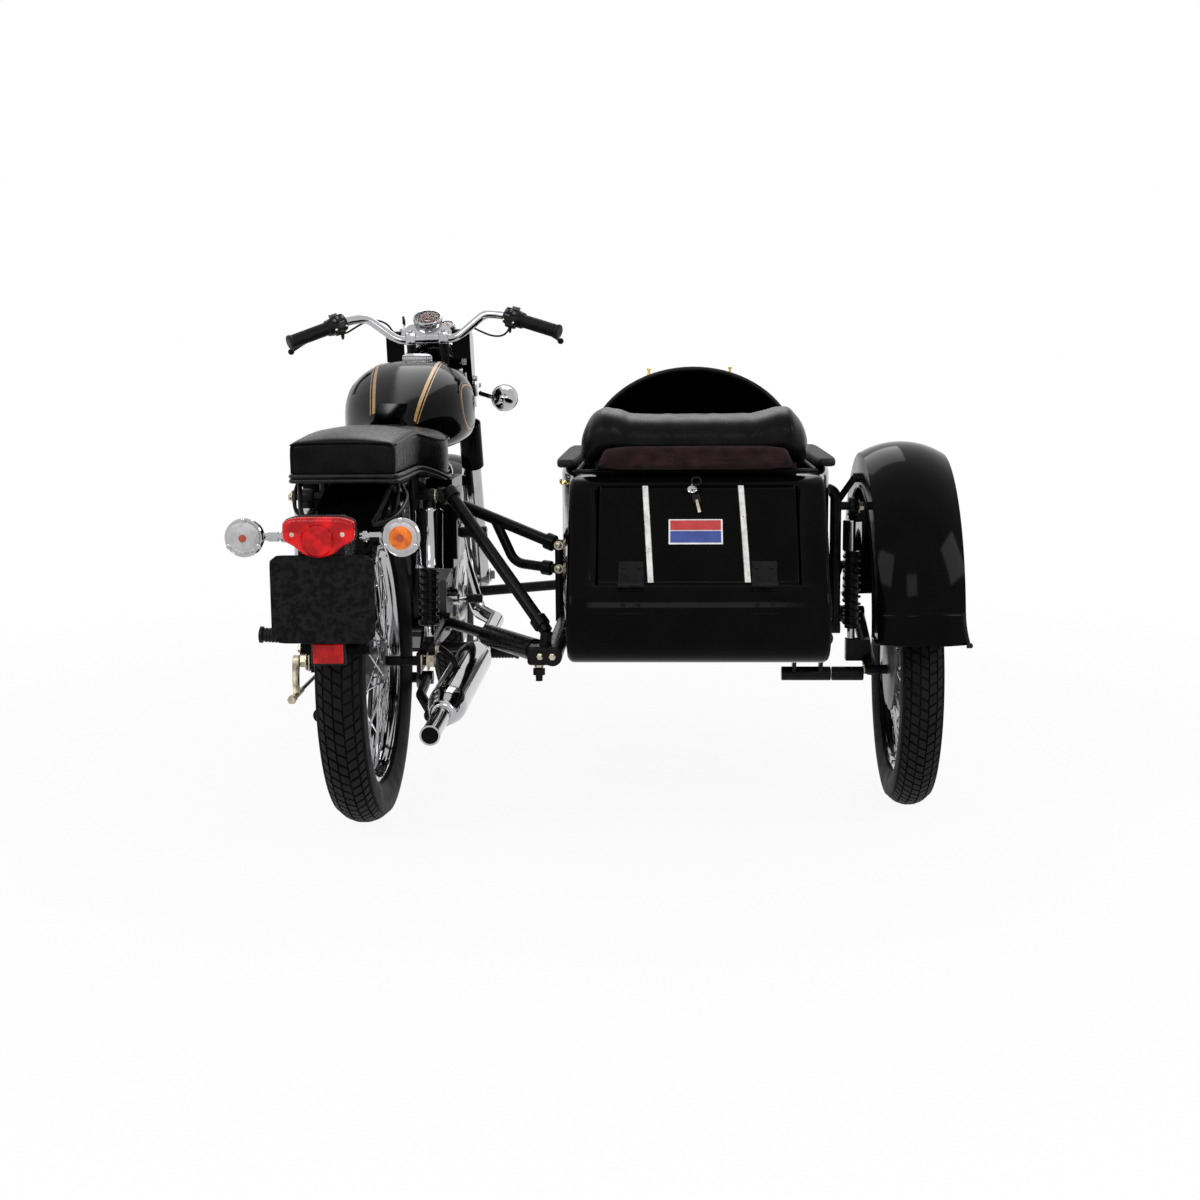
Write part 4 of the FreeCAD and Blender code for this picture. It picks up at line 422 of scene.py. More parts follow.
def chrome():
    """Chrome plate."""
    return finish("chrome_plate", tint("chrome"), rough=0.07, metal=1, mottle=(0.06, 18), grain=(0.015, 500),
                  haze=0.03)


def zinc():
    """Zinc plate on screws and small parts."""
    return finish("zinc_steel", (0.42, 0.38, 0.30), rough=0.34, metal=1, mottle=(0.2, 90), grain=(0.12, 600),
                  haze=0.12)


def bare_steel():
    """Plain steel."""
    return finish("bare_steel", (0.42, 0.42, 0.43), rough=0.3, metal=1, mottle=(0.2, 70), grain=(0.1, 500),
                  haze=0.1)


def cast():
    """Cast light metal."""
    return finish("cast_alloy", (0.13, 0.13, 0.13), rough=0.42, metal=0.9, mottle=(0.06, 40),
                  grain=(0.2, 900), haze=0.06)


def polished():
    """Polished light metal."""
    return finish("polished_alloy", (0.34, 0.34, 0.34), rough=0.2, metal=1, mottle=(0.05, 30),
                  grain=(0.05, 700))


def tyre_rubber():
    """Rubber of the tyres."""
    return finish("tyre_rubber", (0.0042, 0.0042, 0.0044), rough=0.6, mottle=(0.35, 30), grain=(0.25, 1200),
                  haze=0.1, specular=0.1)


def rubber():
    """Rubber of grips, pads and cables."""
    return finish("grip_rubber", (0.005, 0.005, 0.005), rough=0.42, mottle=(0.25, 60), grain=(0.2, 1500),
                  haze=0.1, specular=0.14)


def vinyl():
    """Grained seat cover."""
    return finish("black_vinyl", tint("vinyl"), rough=0.28, mottle=(0.2, 25), grain=(0.14, 900), haze=0.06,
                  specular=0.06, pattern="leather")


def maroon():
    """Woven maroon cloth."""
    return finish("maroon_cloth", tint("cloth"), rough=0.85, mottle=(0.4, 45), grain=(0.7, 260), sheen=0.06,
                  specular=0.1, pattern="weave")


def grey_cloth():
    """Woven grey cloth."""
    return finish("pad_cloth", (0.016, 0.015, 0.015), rough=0.6, mottle=(0.3, 50), grain=(0.3, 300),
                  sheen=0.03, specular=0.16, pattern="weave")


def gold():
    """Gold paint of the tank's lines."""
    return finish("gold_line", tint("stripe"), rough=0.3, metal=0.35, mottle=(0.15, 60), grain=(0.03, 700),
                  haze=0.08)


def brass():
    """Brass."""
    return finish("brass", (0.72, 0.50, 0.16), rough=0.22, metal=1, mottle=(0.2, 80), grain=(0.05, 600),
                  haze=0.08)


def alloy_strip():
    """Bright strip on the boot lid."""
    return finish("alloy_strip", (0.62, 0.62, 0.60), rough=0.3, metal=0.8, mottle=(0.12, 60),
                  grain=(0.1, 500), haze=0.08)


def red_lens():
    """Red plastic lens, with a painted glow: a faint emission of its own red stands in for light through the
    unlit lens.
    """
    return finish("red_lens", tint("lamp"), rough=0.12, mottle=(0.2, 30), grain=(0.4, 60), haze=0.03,
                  specular=0.2, coat=0.08, glow=0.08, second=(0.75, 0.006, 0.008), pattern="flutes")


def orange_lens():
    """Orange plastic lens, with a painted glow: a faint emission of its own orange stands in for light
    through the unlit lens.
    """
    return finish("orange_lens", (0.62, 0.11, 0.004), rough=0.1, mottle=(0.35, 50), grain=(0.4, 60),
                  haze=0.03, specular=0.3, coat=0.1, glow=0.06, pattern="flutes")


def clear_lens():
    """Clear plastic lens."""
    return finish("clear_lens", (0.80, 0.80, 0.80), rough=0.12, mottle=(0.1, 60), grain=(0.35, 220),
                  haze=0.03, coat=0.5, clear=0.5, pattern="flutes")


def black_plastic():
    """Black plastic."""
    return finish("black_plastic", (0.004, 0.004, 0.0042), rough=0.34, mottle=(0.2, 70), grain=(0.1, 900),
                  haze=0.08, specular=0.14)


def sizes():
    """The sizes a user may change."""
    return bpy.context.scene.outfit_sizes


def colours():
    """The colours a user may change."""
    return bpy.context.scene.outfit_colours


def dress(node, material):
    """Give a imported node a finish."""
    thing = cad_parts[node]
    thing.data.materials.clear()
    thing.data.materials.append(material)
    thing.data.shade_smooth()
    thing.data.set_sharp_from_angle(angle=radians(30))


class OutfitSizes(bpy.types.PropertyGroup):
    """Sizes of the visible pieces."""
    tread_depth: FloatProperty(name="Tread depth", description="Depth of the tyre's tread", default=0.006,
                               unit="LENGTH")
    tread_pitches: IntProperty(name="Tread pitches", description="Tread blocks round a tyre", default=84,
                               min=24)
    spoke_count: IntProperty(name="Spokes", description="Wire spokes in a wheel", default=40, min=12)
    skin: FloatProperty(name="Body sheet", description="Thickness of the sidecar's sheet", default=0.004,
                        unit="LENGTH")


class OutfitColours(bpy.types.PropertyGroup):
    """Colours of the main finishes."""
    paint: FloatVectorProperty(name="Paint", description="Gloss paint", subtype="COLOR",
                               default=(0.0012, 0.0012, 0.0014))
    chrome: FloatVectorProperty(name="Chrome", description="Chrome plate", subtype="COLOR",
                                default=(0.40, 0.40, 0.41))
    vinyl: FloatVectorProperty(name="Vinyl", description="Seat cover", subtype="COLOR",
                               default=(0.003, 0.003, 0.0032))
    cloth: FloatVectorProperty(name="Cloth", description="Sidecar cloth", subtype="COLOR",
                               default=(0.015, 0.0048, 0.0063))
    stripe: FloatVectorProperty(name="Line", description="Tank lines", subtype="COLOR",
                                default=(0.27, 0.145, 0.034))
    lamp: FloatVectorProperty(name="Lamp", description="Tail lamp lens", subtype="COLOR",
                              default=(0.46, 0.0008, 0.003))


class OUTFIT_OT_stage(bpy.types.Operator):
    """Camera, lamps, world and floor"""
    bl_idname = "outfit.stage"
    bl_label = "Stage"

    def execute(self, context):
        """Set the view of the photograph and a plain pale surrounding."""
        scene = context.scene
        scene.view_settings.view_transform = "Standard"
        yaw, pitch, roll = radians(CAMERA_YAW), radians(CAMERA_PITCH), radians(CAMERA_ROLL)
        ahead = Vector((-sin(yaw) * cos(pitch), cos(yaw) * cos(pitch), -sin(pitch)))
        level = Vector((cos(yaw), sin(yaw), 0.0))
        above = level.cross(ahead)
        right = level * cos(roll) + above * sin(roll)
        up = above * cos(roll) - level * sin(roll)
        lens = bpy.data.cameras.new("camera")
        lens.sensor_width = SENSOR_WIDTH
        lens.lens = CAMERA_LENS
        lens.clip_end = CAMERA_REACH
        camera = bpy.data.objects.new("camera", lens)
        scene.collection.objects.link(camera)
        turn = Matrix((right, up, -ahead)).transposed().to_4x4()
        camera.matrix_world = Matrix.Translation(ORIGIN + CAMERA_PLACE) @ turn
        scene.camera = camera
        self.world(scene)
        self.floor(scene)
        for name, place_at, aim, size, power in LAMPS:
            lamp = bpy.data.lights.new(name, "AREA")
            lamp.size = size
            lamp.energy = power
            thing = bpy.data.objects.new(name, lamp)
            scene.collection.objects.link(thing)
            thing.location = ORIGIN + Vector(place_at)
            thing.rotation_euler = (ORIGIN + Vector(aim) - thing.location).to_track_quat("-Z", "Y").to_euler()
        return {"FINISHED"}

    def seen(self, nodes, links):
        """One where a ray from the camera, a mirror or glass meets the surface."""
        path = nodes.new("ShaderNodeLightPath")
        total = path.outputs["Is Camera Ray"]
        for name in ("Is Glossy Ray", "Is Transmission Ray"):
            total = sum_of(nodes, links, "MAXIMUM", total, path.outputs[name])
        return total

    def world(self, scene):
        """A white background with a soft grey light."""
        world = bpy.data.worlds.new("studio")
        scene.world = world
        world.use_nodes = True
        nodes, links = world.node_tree.nodes, world.node_tree.links
        shown = nodes["Background"]
        shown.inputs["Color"].default_value = (1, 1, 1, 1)
        light = nodes.new("ShaderNodeBackground")
        light.inputs["Color"].default_value = (1, 1, 1, 1)
        light.inputs["Strength"].default_value = WORLD_LIGHT
        mix = nodes.new("ShaderNodeMixShader")
        links.new(self.seen(nodes, links), mix.inputs["Fac"])
        links.new(light.outputs["Background"], mix.inputs[1])
        links.new(shown.outputs["Background"], mix.inputs[2])
        links.new(mix.outputs["Shader"], nodes["World Output"].inputs["Surface"])

    def floor(self, scene):
        """A wide pale floor that keeps the shadow."""
        mesh = bpy.data.meshes.new("floor")
        corners = ((-1, -1), (1, -1), (1, 1), (-1, 1))
        mesh.from_pydata([(x * FLOOR_REACH, y * FLOOR_REACH, 0) for x, y in corners], [], [(0, 1, 2, 3)])
        material = bpy.data.materials.new("floor")
        material.use_nodes = True
        nodes, links = material.node_tree.nodes, material.node_tree.links
        shader = nodes["Principled BSDF"]
        shader.inputs["Base Color"].default_value = (FLOOR_GREY, FLOOR_GREY, FLOOR_GREY, 1)
        shader.inputs["Roughness"].default_value = 0.9
        white = nodes.new("ShaderNodeEmission")
        white.inputs["Strength"].default_value = 1.0
        place = nodes.new("ShaderNodeTexCoord")
        far = nodes.new("ShaderNodeVectorMath")
        far.operation = "LENGTH"
        links.new(place.outputs["Object"], far.inputs[0])
        fade = span(nodes, (NEAR, FAR, NEAR_WHITE, FAR_WHITE))
        links.new(far.outputs["Value"], fade.inputs["Value"])
        share = sum_of(nodes, links, "MULTIPLY", self.seen(nodes, links), fade.outputs["Result"])
        mix = nodes.new("ShaderNodeMixShader")
        links.new(share, mix.inputs["Fac"])
        links.new(shader.outputs["BSDF"], mix.inputs[1])
        links.new(white.outputs["Emission"], mix.inputs[2])
        links.new(mix.outputs["Shader"], nodes["Material Output"].inputs["Surface"])
        mesh.materials.append(material)
        thing = bpy.data.objects.new("floor", mesh)
        scene.collection.objects.link(thing)


def tyre_radius(across, radius, half, bead):
    """How far out the tread lies at a place across the tyre."""
    share = min(1.0, abs(across) / (half * 0.82))
    return radius - (radius - bead) * 0.2 * share ** 2.4


def tyre(name, centre, radius, half, bead, body, node):
    """A road tyre: carcass and staggered tread blocks."""
    depth = sizes().tread_depth / MM
    form = Form()
    inside = radius - depth
    profile = [(-24.5, bead + 1), (-25, bead + 9.5)]
    for share in (0.0, 0.12, 0.25, 0.4, 0.55, 0.7, 0.85, 1.0):
        bulge = sin(pi * (0.12 + 0.55 * share))
        profile.append((-(25.5 + (half - 26.5) * bulge),
                        bead + 10 + (inside - 0.16 * (radius - bead) - bead - 10) * share))
    for share in (-0.78, -0.6, -0.35, 0.0, 0.35, 0.6, 0.78):
        profile.append((half * share, tyre_radius(half * share, inside, half, bead)))
    profile += [(-along, size) for along, size in reversed(profile[:10])]
    form.lathe(centre, X, profile, 96, loop=True)
    pitches = sizes().tread_pitches
    rows = ((-0.80, -0.60, 0.5), (-0.54, -0.22, 0.0), (-0.16, 0.16, 0.5), (0.22, 0.54, 0.0),
            (0.60, 0.80, 0.5))
    for number in range(pitches):
        for left, right, lag in rows:
            start = (number + lag) * 2 * pi / pitches
            length = 2 * pi / pitches * 0.78
            skew = 0.22 * length * (1 if left >= 0 else -1)
            ring = []
            for height, inset in ((-1.0, 0.0), (depth - 0.6, 0.0), (depth, 0.05)):
                row = []
                for across, angle in ((left, start + skew), (right, start - skew),
                                      (right, start + length - skew), (left, start + length + skew)):
                    middle = (left + right) / 2
                    place_at = (across + (middle - across) * inset * 2) * half
                    swing = angle + (start + length / 2 - angle) * inset * 2
                    size = tyre_radius(place_at, inside, half, bead) + height
                    row.append(Vector(centre) + X * place_at + Y * cos(swing) * size + Z * sin(swing) * size)
                ring.append(row)
            form.loft(ring)
    form.piece(name, tyre_rubber(), body, replaces=(node,), sharp=28)


class OUTFIT_OT_tyres(bpy.types.Operator):
    """The three road tyres"""
    bl_idname = "outfit.tyres"
    bl_label = "Tyres"

    def execute(self, context):
        """Make each tyre around its rim."""
        for name, values in TYRES.items():
            tyre(name + "_road_tyre", *values)
        return {"FINISHED"}


def wheel_rim(form, centre, bead):
    """A rolled steel rim."""
    profile = [(-29, bead + 8), (-28, bead + 9.5), (-26, bead + 8), (-25, bead + 1), (-20, bead),
               (-14, bead - 2), (-9, bead - 9), (9, bead - 9), (14, bead - 2), (20, bead), (25, bead + 1),
               (26, bead + 8), (28, bead + 9.5), (29, bead + 8), (29, bead - 2), (25, bead - 4.5),
               (17, bead - 6), (11, bead - 12.5), (-11, bead - 12.5), (-17, bead - 6), (-25, bead - 4.5),
               (-29, bead - 2)]
    form.lathe(centre, X, profile, 96, loop=True)


def wheel_spokes(centre, bead, drum, body, name):
    """Crossed spokes with their nipples; the drum is on the left."""
    wires = Form()
    count = sizes().spoke_count
    for number in range(count):
        crossing = 1 if number % 4 < 2 else -1
        on_drum = number % 2 == 0
        root, aside, lead, reach = (drum, -26.0, 0.42, -6.0) if on_drum else (FLANGE, 33.0, 1.0, 6.0)
        angle = 2 * pi * number / count
        trail = angle + crossing * lead
        foot = centre + X * (aside + 2.6 * crossing) + (Y * cos(trail) + Z * sin(trail)) * root
        tip = centre + X * reach + (Y * cos(angle) + Z * sin(angle)) * (bead - 11)
        wires.rod(foot, tip, 1.9, steps=8)
        wires.rod(foot + (foot - tip).normalized() * 3, foot + (tip - foot).normalized() * 3, 3.6, steps=8)
        wires.rod(tip - (tip - foot).normalized() * 13, tip, 3.1, steps=6)
    wires.piece(name + "_spokes", chrome(), body, sharp=40)


def wheel_hub(centre, drum, body, name):
    """A hub with its drum, cooling rings and spoke flange."""
    profile = [(-39.5, 10.5), (-39.5, 24), (-36, 27), (-36, FLANGE - 3), (-34.5, FLANGE + 5),
               (-31.5, FLANGE + 5), (-30, FLANGE - 3), (-26, 30), (-10, 26), (6, 28), (8, drum - 14),
               (10, drum - 4), (12, drum + 6), (15, drum + 6), (17, drum - 1), (21, drum - 1), (22, drum + 2),
               (24, drum + 2), (25, drum - 1), (29, drum - 1), (30, drum + 6), (34, drum + 6), (36, drum),
               (39.5, drum - 6), (39.5, 10.5)]
    form = Form()
    form.lathe(centre, X, [(-along, radius) for along, radius in profile], 64, loop=True)
    form.piece(name + "_hub", cast(), body, sharp=32)


class OUTFIT_OT_wheels(bpy.types.Operator):
    """Rims, spokes and hubs"""
    bl_idname = "outfit.wheels"
    bl_label = "Wheels"

    def execute(self, context):
        """Lace each wheel."""
        for name, (centre, _, _, bead, body, _) in TYRES.items():
            rim = Form()
            wheel_rim(rim, centre, bead)
            rim.piece(name + "_rim", chrome(), body, replaces=(name + "_spoked_wheel",), sharp=50)
            wheel_spokes(centre, bead, DRUMS[name], body, name)
            wheel_hub(centre, DRUMS[name], body, name)
        return {"FINISHED"}


def rounded(outline, rounds=2, share=0.2):
    """An outline with its corners cut off again and again."""
    for _ in range(rounds):
        shorter = []
        for number, point in enumerate(outline):
            after = outline[(number + 1) % len(outline)]
            for part in (share, 1 - share):
                shorter.append(tuple(a + (b - a) * part for a, b in zip(point, after)))
        outline = shorter
    return outline


def inset(outline, distance, closed=True):
    """An outline moved inwards along its own normals."""
    area = sum(a[0] * b[1] - b[0] * a[1] for a, b in zip(outline, outline[1:] + outline[:1]))
    turn = 1.0 if area > 0 else -1.0
    moved = []
    for number, point in enumerate(outline):
        before, after = outline[number - 1], outline[(number + 1) % len(outline)]
        if not closed and number == 0:
            before = point
        if not closed and number == len(outline) - 1:
            after = point
        along = Vector((after[0] - before[0], after[1] - before[1]))
        if along.length < 1e-6:
            moved.append(point)
            continue
        along.normalize()
        moved.append((point[0] - along.y * turn * distance, point[1] + along.x * turn * distance))
    return moved


def pillow(form, outline, place, depth, edge, steps=4):
    """A flat-backed pad from an outline. place(u, v, w) gives its points, with w the height."""
    rings = [[place(u, v, 0.0) for u, v in outline]]
    for step in range(steps + 1):
        angle = pi / 2 * step / steps
        shape = inset(outline, edge * (1 - cos(angle)))
        rings.append([place(u, v, depth - edge + edge * sin(angle)) for u, v in shape])
    form.loft(rings)


def ring_of(forward, half, low, high, crown, edge):
    """A seat's cross-section: flat sides, rounded top corners and a crowned top."""
    low_edge, shoulder = 4.0, high - crown - edge
    points = [(-half + low_edge, low), (half - low_edge, low), (half, low + low_edge)]
    points += arc(half - edge, shoulder, edge, 0, pi / 2, 5)
    points += [(share * (half - edge), high - crown * share ** 2) for share in (0.6, 0.25, -0.25, -0.6)]
    points += arc(edge - half, shoulder, edge, pi / 2, pi, 5)
    points.append((-half, low + low_edge))
    return [Vector((across, forward, up)) for across, up in points]


class OUTFIT_OT_tail(bpy.types.Operator):
    """Tail lamp, number plate, indicators and reflector"""
    bl_idname = "outfit.tail"
    bl_label = "Tail lamps"

    def execute(self, context):
        """Make the pieces on the rear mudguard."""
        worn = finish("worn_plate", (0.0022, 0.0022, 0.0024), rough=0.42, mottle=(0.3, 110), grain=(0.3, 260),
                      haze=0.1, specular=0.08, second=(0.009, 0.0095, 0.0095))
        outline = [(-94, 600), (-94, 454), (-80, 440), (80, 440), (94, 454), (94, 600)]
        sheet = Form()
        pillow(sheet, rounded(outline, 3, 0.07), lambda u, v, w: Vector((u, -430 - w, v)), 4.0, 1.2)
        sheet.piece("plate_sheet", worn, replaces=("number_plate",))
        lens_outline = [(-66, 628), (-65, 672), (65, 672), (66, 628), (44, 617), (27, 602), (0, 596),
                        (-27, 602), (-44, 617)]
        lens_outline = rounded(lens_outline, 3, 0.18)
        base = Form()
        pillow(base, lens_outline, lambda u, v, w: Vector((u, -430 - w, v)), 8.0, 2.0)
        base.piece("tail_lamp_base", black_plastic())
        lens = Form()
        shape = inset(lens_outline, 1.5)
        pillow(lens, shape, lambda u, v, w: Vector((u, -438 - w - 3.0 * cos(u / 44.0), v)), 22.0, 9.0, 6)
        lens.lathe((0, -455, 629), (0, -1, 0), [(0, 31), (6, 30), (11, 26), (13, 18), (14, 0.1)], 40)
        for aside in (-1, 1):
            lens.lathe((aside * 45, -452, 640), (0, -1, 0), [(0, 9), (9, 8), (10, 7)], 24)
        lens.piece("tail_lamp_lens", red_lens(), replaces=("tail_lamp",))
        screws = Form()
        for aside in (-1, 1):
            screws.lathe((aside * 45, -461, 640), (0, -1, 0), [(0, 4.2), (2, 4.2), (2.6, 3.4), (2.6, 0.1)],
                         16)
        screws.piece("tail_lamp_screws", zinc())
        for rear, reach, forward, up in ((True, 142, -418, 630), (False, 188, 1080, 831)):
            for side in (-1, 1):
                self.indicator(Vector((side * reach, forward, up)), side, rear)
        frame_back = Form()
        frame_back.slab((0, -391, 415), (64, 10, 44), round_by=3)
        frame_back.piece("reflector_case", black_plastic())
        glass = Form()
        glass.slab((0, -397, 415), (56, 6, 36), round_by=2)
        glass.piece("reflector_glass", red_lens(), replaces=("rear_reflector",))
        bracket = Form()
        bracket.slab((0, -376, 416), (22, 24, 6), round_by=1)
        bracket.bolt((0, -376, 419), (0, 0, 1), 4)
        bracket.piece("reflector_bracket", satin_black())
        return {"FINISHED"}

    def indicator(self, centre, side, rear):
        """A chrome bowl, lens, ring with lugs and stem."""
        where, body, back = ("rear", "chassis", 1) if rear else ("front", "steering", -1)
        name = where + ("_left" if side < 0 else "_right") + "_indicator"
        bowl = Form()
        bowl.lathe(centre, (0, back, 0), [(-1, 30), (-2, 33), (0, 35), (6, 35.5), (8, 33.5), (22, 33),
                                          (34, 29), (46, 22), (56, 14), (62, 7), (63.5, 0.1)], 48)
        for turn in range(3):
            angle = radians(90 + 120 * turn)
            spot = centre + Vector((cos(angle) * 31, -back * 2.2, sin(angle) * 31))
            bowl.lathe(spot, (0, -back, 0), [(0, 5), (2.5, 4.6), (3.2, 3.5)], 16)
        if rear:
            bowl.rod((side * 112, -400, 630), (side * 64, -400, 630), 7)
            bowl.lathe((side * 92, -400, 630), X, [(-9, 9.5), (9, 9.5)], 6)
            bowl.lathe((side * 74, -400, 630), X, [(-3, 10.5), (3, 10.5)], 20)
        else:
            bowl.rod((side * 122, 1092, 846), (side * 170, 1062, 831), 7)
            bowl.slab((side * 112, 1098, 856), (9, 28, 38))
        bowl.piece(name + "_bowl", chrome(), body, replaces=(where + "_indicators",))
        cover = Form()
        cover.lathe(centre, (0, -back, 0), [(0.5, 29.5), (3.5, 29), (6.0, 24), (7.0, 21)], 48)
        cover.piece(name + "_ring_lens", clear_lens(), body)
        middle = Form()
        middle.lathe(centre, (0, -back, 0), [(2, 21.5), (7.4, 21), (9.5, 15), (10.5, 8), (10.8, 0.1)], 40)
        plain = rear and side < 0
        middle.piece(name + "_lens", clear_lens() if plain else orange_lens(), body)
        bulb = Form()
        bulb.lathe(centre, (0, -back, 0), [(10.0, 7.5), (11.2, 6.5), (11.8, 3), (11.9, 0.1)], 24)
        bulb.piece(name + "_bulb", finish("bulb_amber", (0.32, 0.045, 0.02), rough=0.2, mottle=(0.2, 60),
                                          grain=(0.1, 200)), body)


class OUTFIT_OT_seat(bpy.types.Operator):
    """Dual seat with its welts"""
    bl_idname = "outfit.seat"
    bl_label = "Seat"

    def execute(self, context):
        """Loft the cover and lay the piping round it."""
        # Each station: forward, half width, low, high, crown and edge
        stations = [(-213, 92, 726, 782, 4, 12), (-211.5, 97, 724, 789, 5, 13), (-206, 100, 722, 795, 6, 14),
                    (-196, 101, 721, 799, 7, 15), (-150, 102, 721, 805, 9, 17), (-90, 103, 721, 810, 10, 18),
                    (-30, 103, 721, 812, 10, 18), (30, 104, 721, 813, 10, 18), (62, 105, 720, 812, 10, 18),
                    (84, 110, 718, 808, 10, 19), (106, 120, 713, 803, 9, 20), (130, 131, 706, 799, 9, 22),
                    (160, 140, 698, 796, 8, 24), (195, 146, 691, 795, 8, 25), (235, 146, 689, 796, 8, 25),
                    (275, 136, 690, 797, 8, 24), (305, 119, 693, 799, 8, 22), (328, 100, 697, 800, 7, 20),
                    (344, 82, 703, 801, 6, 18), (350, 66, 712, 798, 5, 14)]
        cover = Form()
        cover.loft([ring_of(*station) for station in stations])
        cover.pad("seat_cover", vinyl(), 0.75, ("rider_seat",))
        welt = finish("seat_welt", (0.006, 0.006, 0.006), rough=0.35, mottle=(0.2, 60), grain=(0.1, 900),
                      specular=0.2)
        piping = Form()
        top = [Vector((x, -212 - 1.5 * cos(x / 70.0), 789 - 3 * (x / 95.0) ** 4)) for x in range(-90, 91, 12)]
        piping.tube([(-98, -209, 730), (-97.5, -210, 778)] + top + [(97.5, -210, 778), (98, -209, 730)],
                    2.4, 8, 3)
        for side in (-1, 1):
            piping.tube([(side * (half + 0.5), forward, high - crown - edge * 0.55)
                         for forward, half, _, high, crown, edge in stations[3:-2]], 2.0, 8, 2)
        piping.piece("seat_piping", vinyl(), sharp=60)
        hem = Form()
        left, right = ([Vector((side * (half + 0.5), forward, low + 3))
                        for forward, half, low, _, _, _ in stations[3:-1]] for side in (-1, 1))
        bends = ((-100, -206), (-95, -213), (-86, -215.5), (-40, -216), (40, -216), (86, -215.5), (95, -213),
                 (100, -206))
        low_line = left[::-1] + [Vector((x, forward, 725)) for x, forward in bends] + right
        hem.tube(low_line, 4.6, 10, 2)
        hem.tube([point - Z * 9 for point in low_line], 4.6, 10, 2)
        hem.piece("seat_hem", welt, sharp=60)
        return {"FINISHED"}


def drape(node, points, direction, lift=0.7):
    """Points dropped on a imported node's surface along a direction, each with the surface's normal."""
    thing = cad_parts[node]
    tree = BVHTree.FromObject(thing, bpy.context.evaluated_depsgraph_get())
    matrix = to_frame("chassis")
    back = matrix.inverted()
    found = []
    for point in points:
        start = matrix @ Vector(point)
        hit, normal, _, _ = tree.ray_cast(start, Vector(direction))
        if hit is None:
            raise RuntimeError("no surface of %s under %s" % (node, tuple(point)))
        found.append((back @ hit + normal * lift, normal))
    return found


def band(form, found, width, offset=0.0):
    """A thin strip along points on a surface."""
    rings = []
    for number, (point, normal) in enumerate(found):
        ahead = found[min(number + 1, len(found) - 1)][0] - found[max(number - 1, 0)][0]
        side = ahead.cross(normal).normalized()
        rings.append([point + side * (offset - width / 2), point + side * (offset + width / 2)])
    form.loft(rings, closed=False, ends=False)


class OUTFIT_OT_tank(bpy.types.Operator):
    """Gold lines and cap of the fuel tank"""
    bl_idname = "outfit.tank"
    bl_label = "Tank lines and cap"

    def execute(self, context):
        """Lay the lines on the tank and make its cap."""
        lines = Form()
        front, back, above = 800, 362, 1100
        for begin, end, side in ((-84, -37, 1), (62, 54, -1)):
            path = []
            for step in range(37):
                share = step / 36
                across = begin + (end - begin) * share ** 0.85 - side * 9 * sin(pi * share)
                path.append((across, front + (back - front) * share, above))
            found = drape("fuel_tank", path, (0, 0, -1))
            band(lines, found, 7.5)
            band(lines, found, 2.2, 8.5 * side)
        for side in (-1, 1):
            loop = []
            for step in range(49):
                angle = 2 * pi * step / 48
                loop.append((side * 320, 668 + 108 * cos(angle), 828 + (50 - 14 * cos(angle)) * sin(angle)))
            found = drape("fuel_tank", loop, (-side, 0, 0))
            band(lines, found, 5.0)
            band(lines, found, 1.8, 6.5 * side)
        lines.piece("tank_lines", gold(), sharp=180)
        cap = Form()
        low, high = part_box("filler_cap")
        top = high.z / MM
        seat_y = ((low.y + high.y) / 2 - ORIGIN.y) / MM
        cap.lathe((0, seat_y, top - 21), Z, [(-14, 33), (0, 34), (1.5, 37.5), (4, 38), (5, 36), (6, 34.5),
                                             (13, 34.5), (14, 36), (16, 36), (19, 31), (20.5, 22), (21, 0.1)],
                  56)
        for x, y in arc(0, seat_y, 35, 0, 2 * pi, 28)[:-1]:
            cap.rod((x, y, top - 15), (x, y, top - 8), 1.5, steps=8)
        cap.piece("filler_cap_cover", chrome(), replaces=("filler_cap",))
        return {"FINISHED"}


def tub_outline():
    """The tub's side as (forward, height) points in three parts: deck, tail behind the lid, and the rest."""
    deck = [(y, TUB_TOP) for y in (SCUTTLE, 560, 470, 400, 330, 260, 190, 120, 60, 0, -50, -95)]
    deck += [(-122, 715.6), (-138, 714.0), (-149, 709.5)]
    rear = [point for point in arc_through((-150, TUB_TOP), (-238, 612), (-300, 527), 24) if point[1] < 704]
    tail = arc_through((-300, 527), (-323, 492), (-325, 452), 6)[1:]
    under = arc_through((-325, 452), (-303, 396), (-236, 374), 10)[1:]
    low = [(-150, 377), (-60, 380.5), (0, 382.8)] + [(y, TUB_FLOOR) for y in (60, 190, 330, 470, SCUTTLE)]
    return deck, rear, tail + under + low


def tub_half(forward):
    """Half the tub's width at a place along it."""
    share = min(1.0, max(0.0, (forward + 60) / 390))
    return TAIL_HALF + (TUB_HALF - TAIL_HALF) * share + 12 * sin(pi * share)


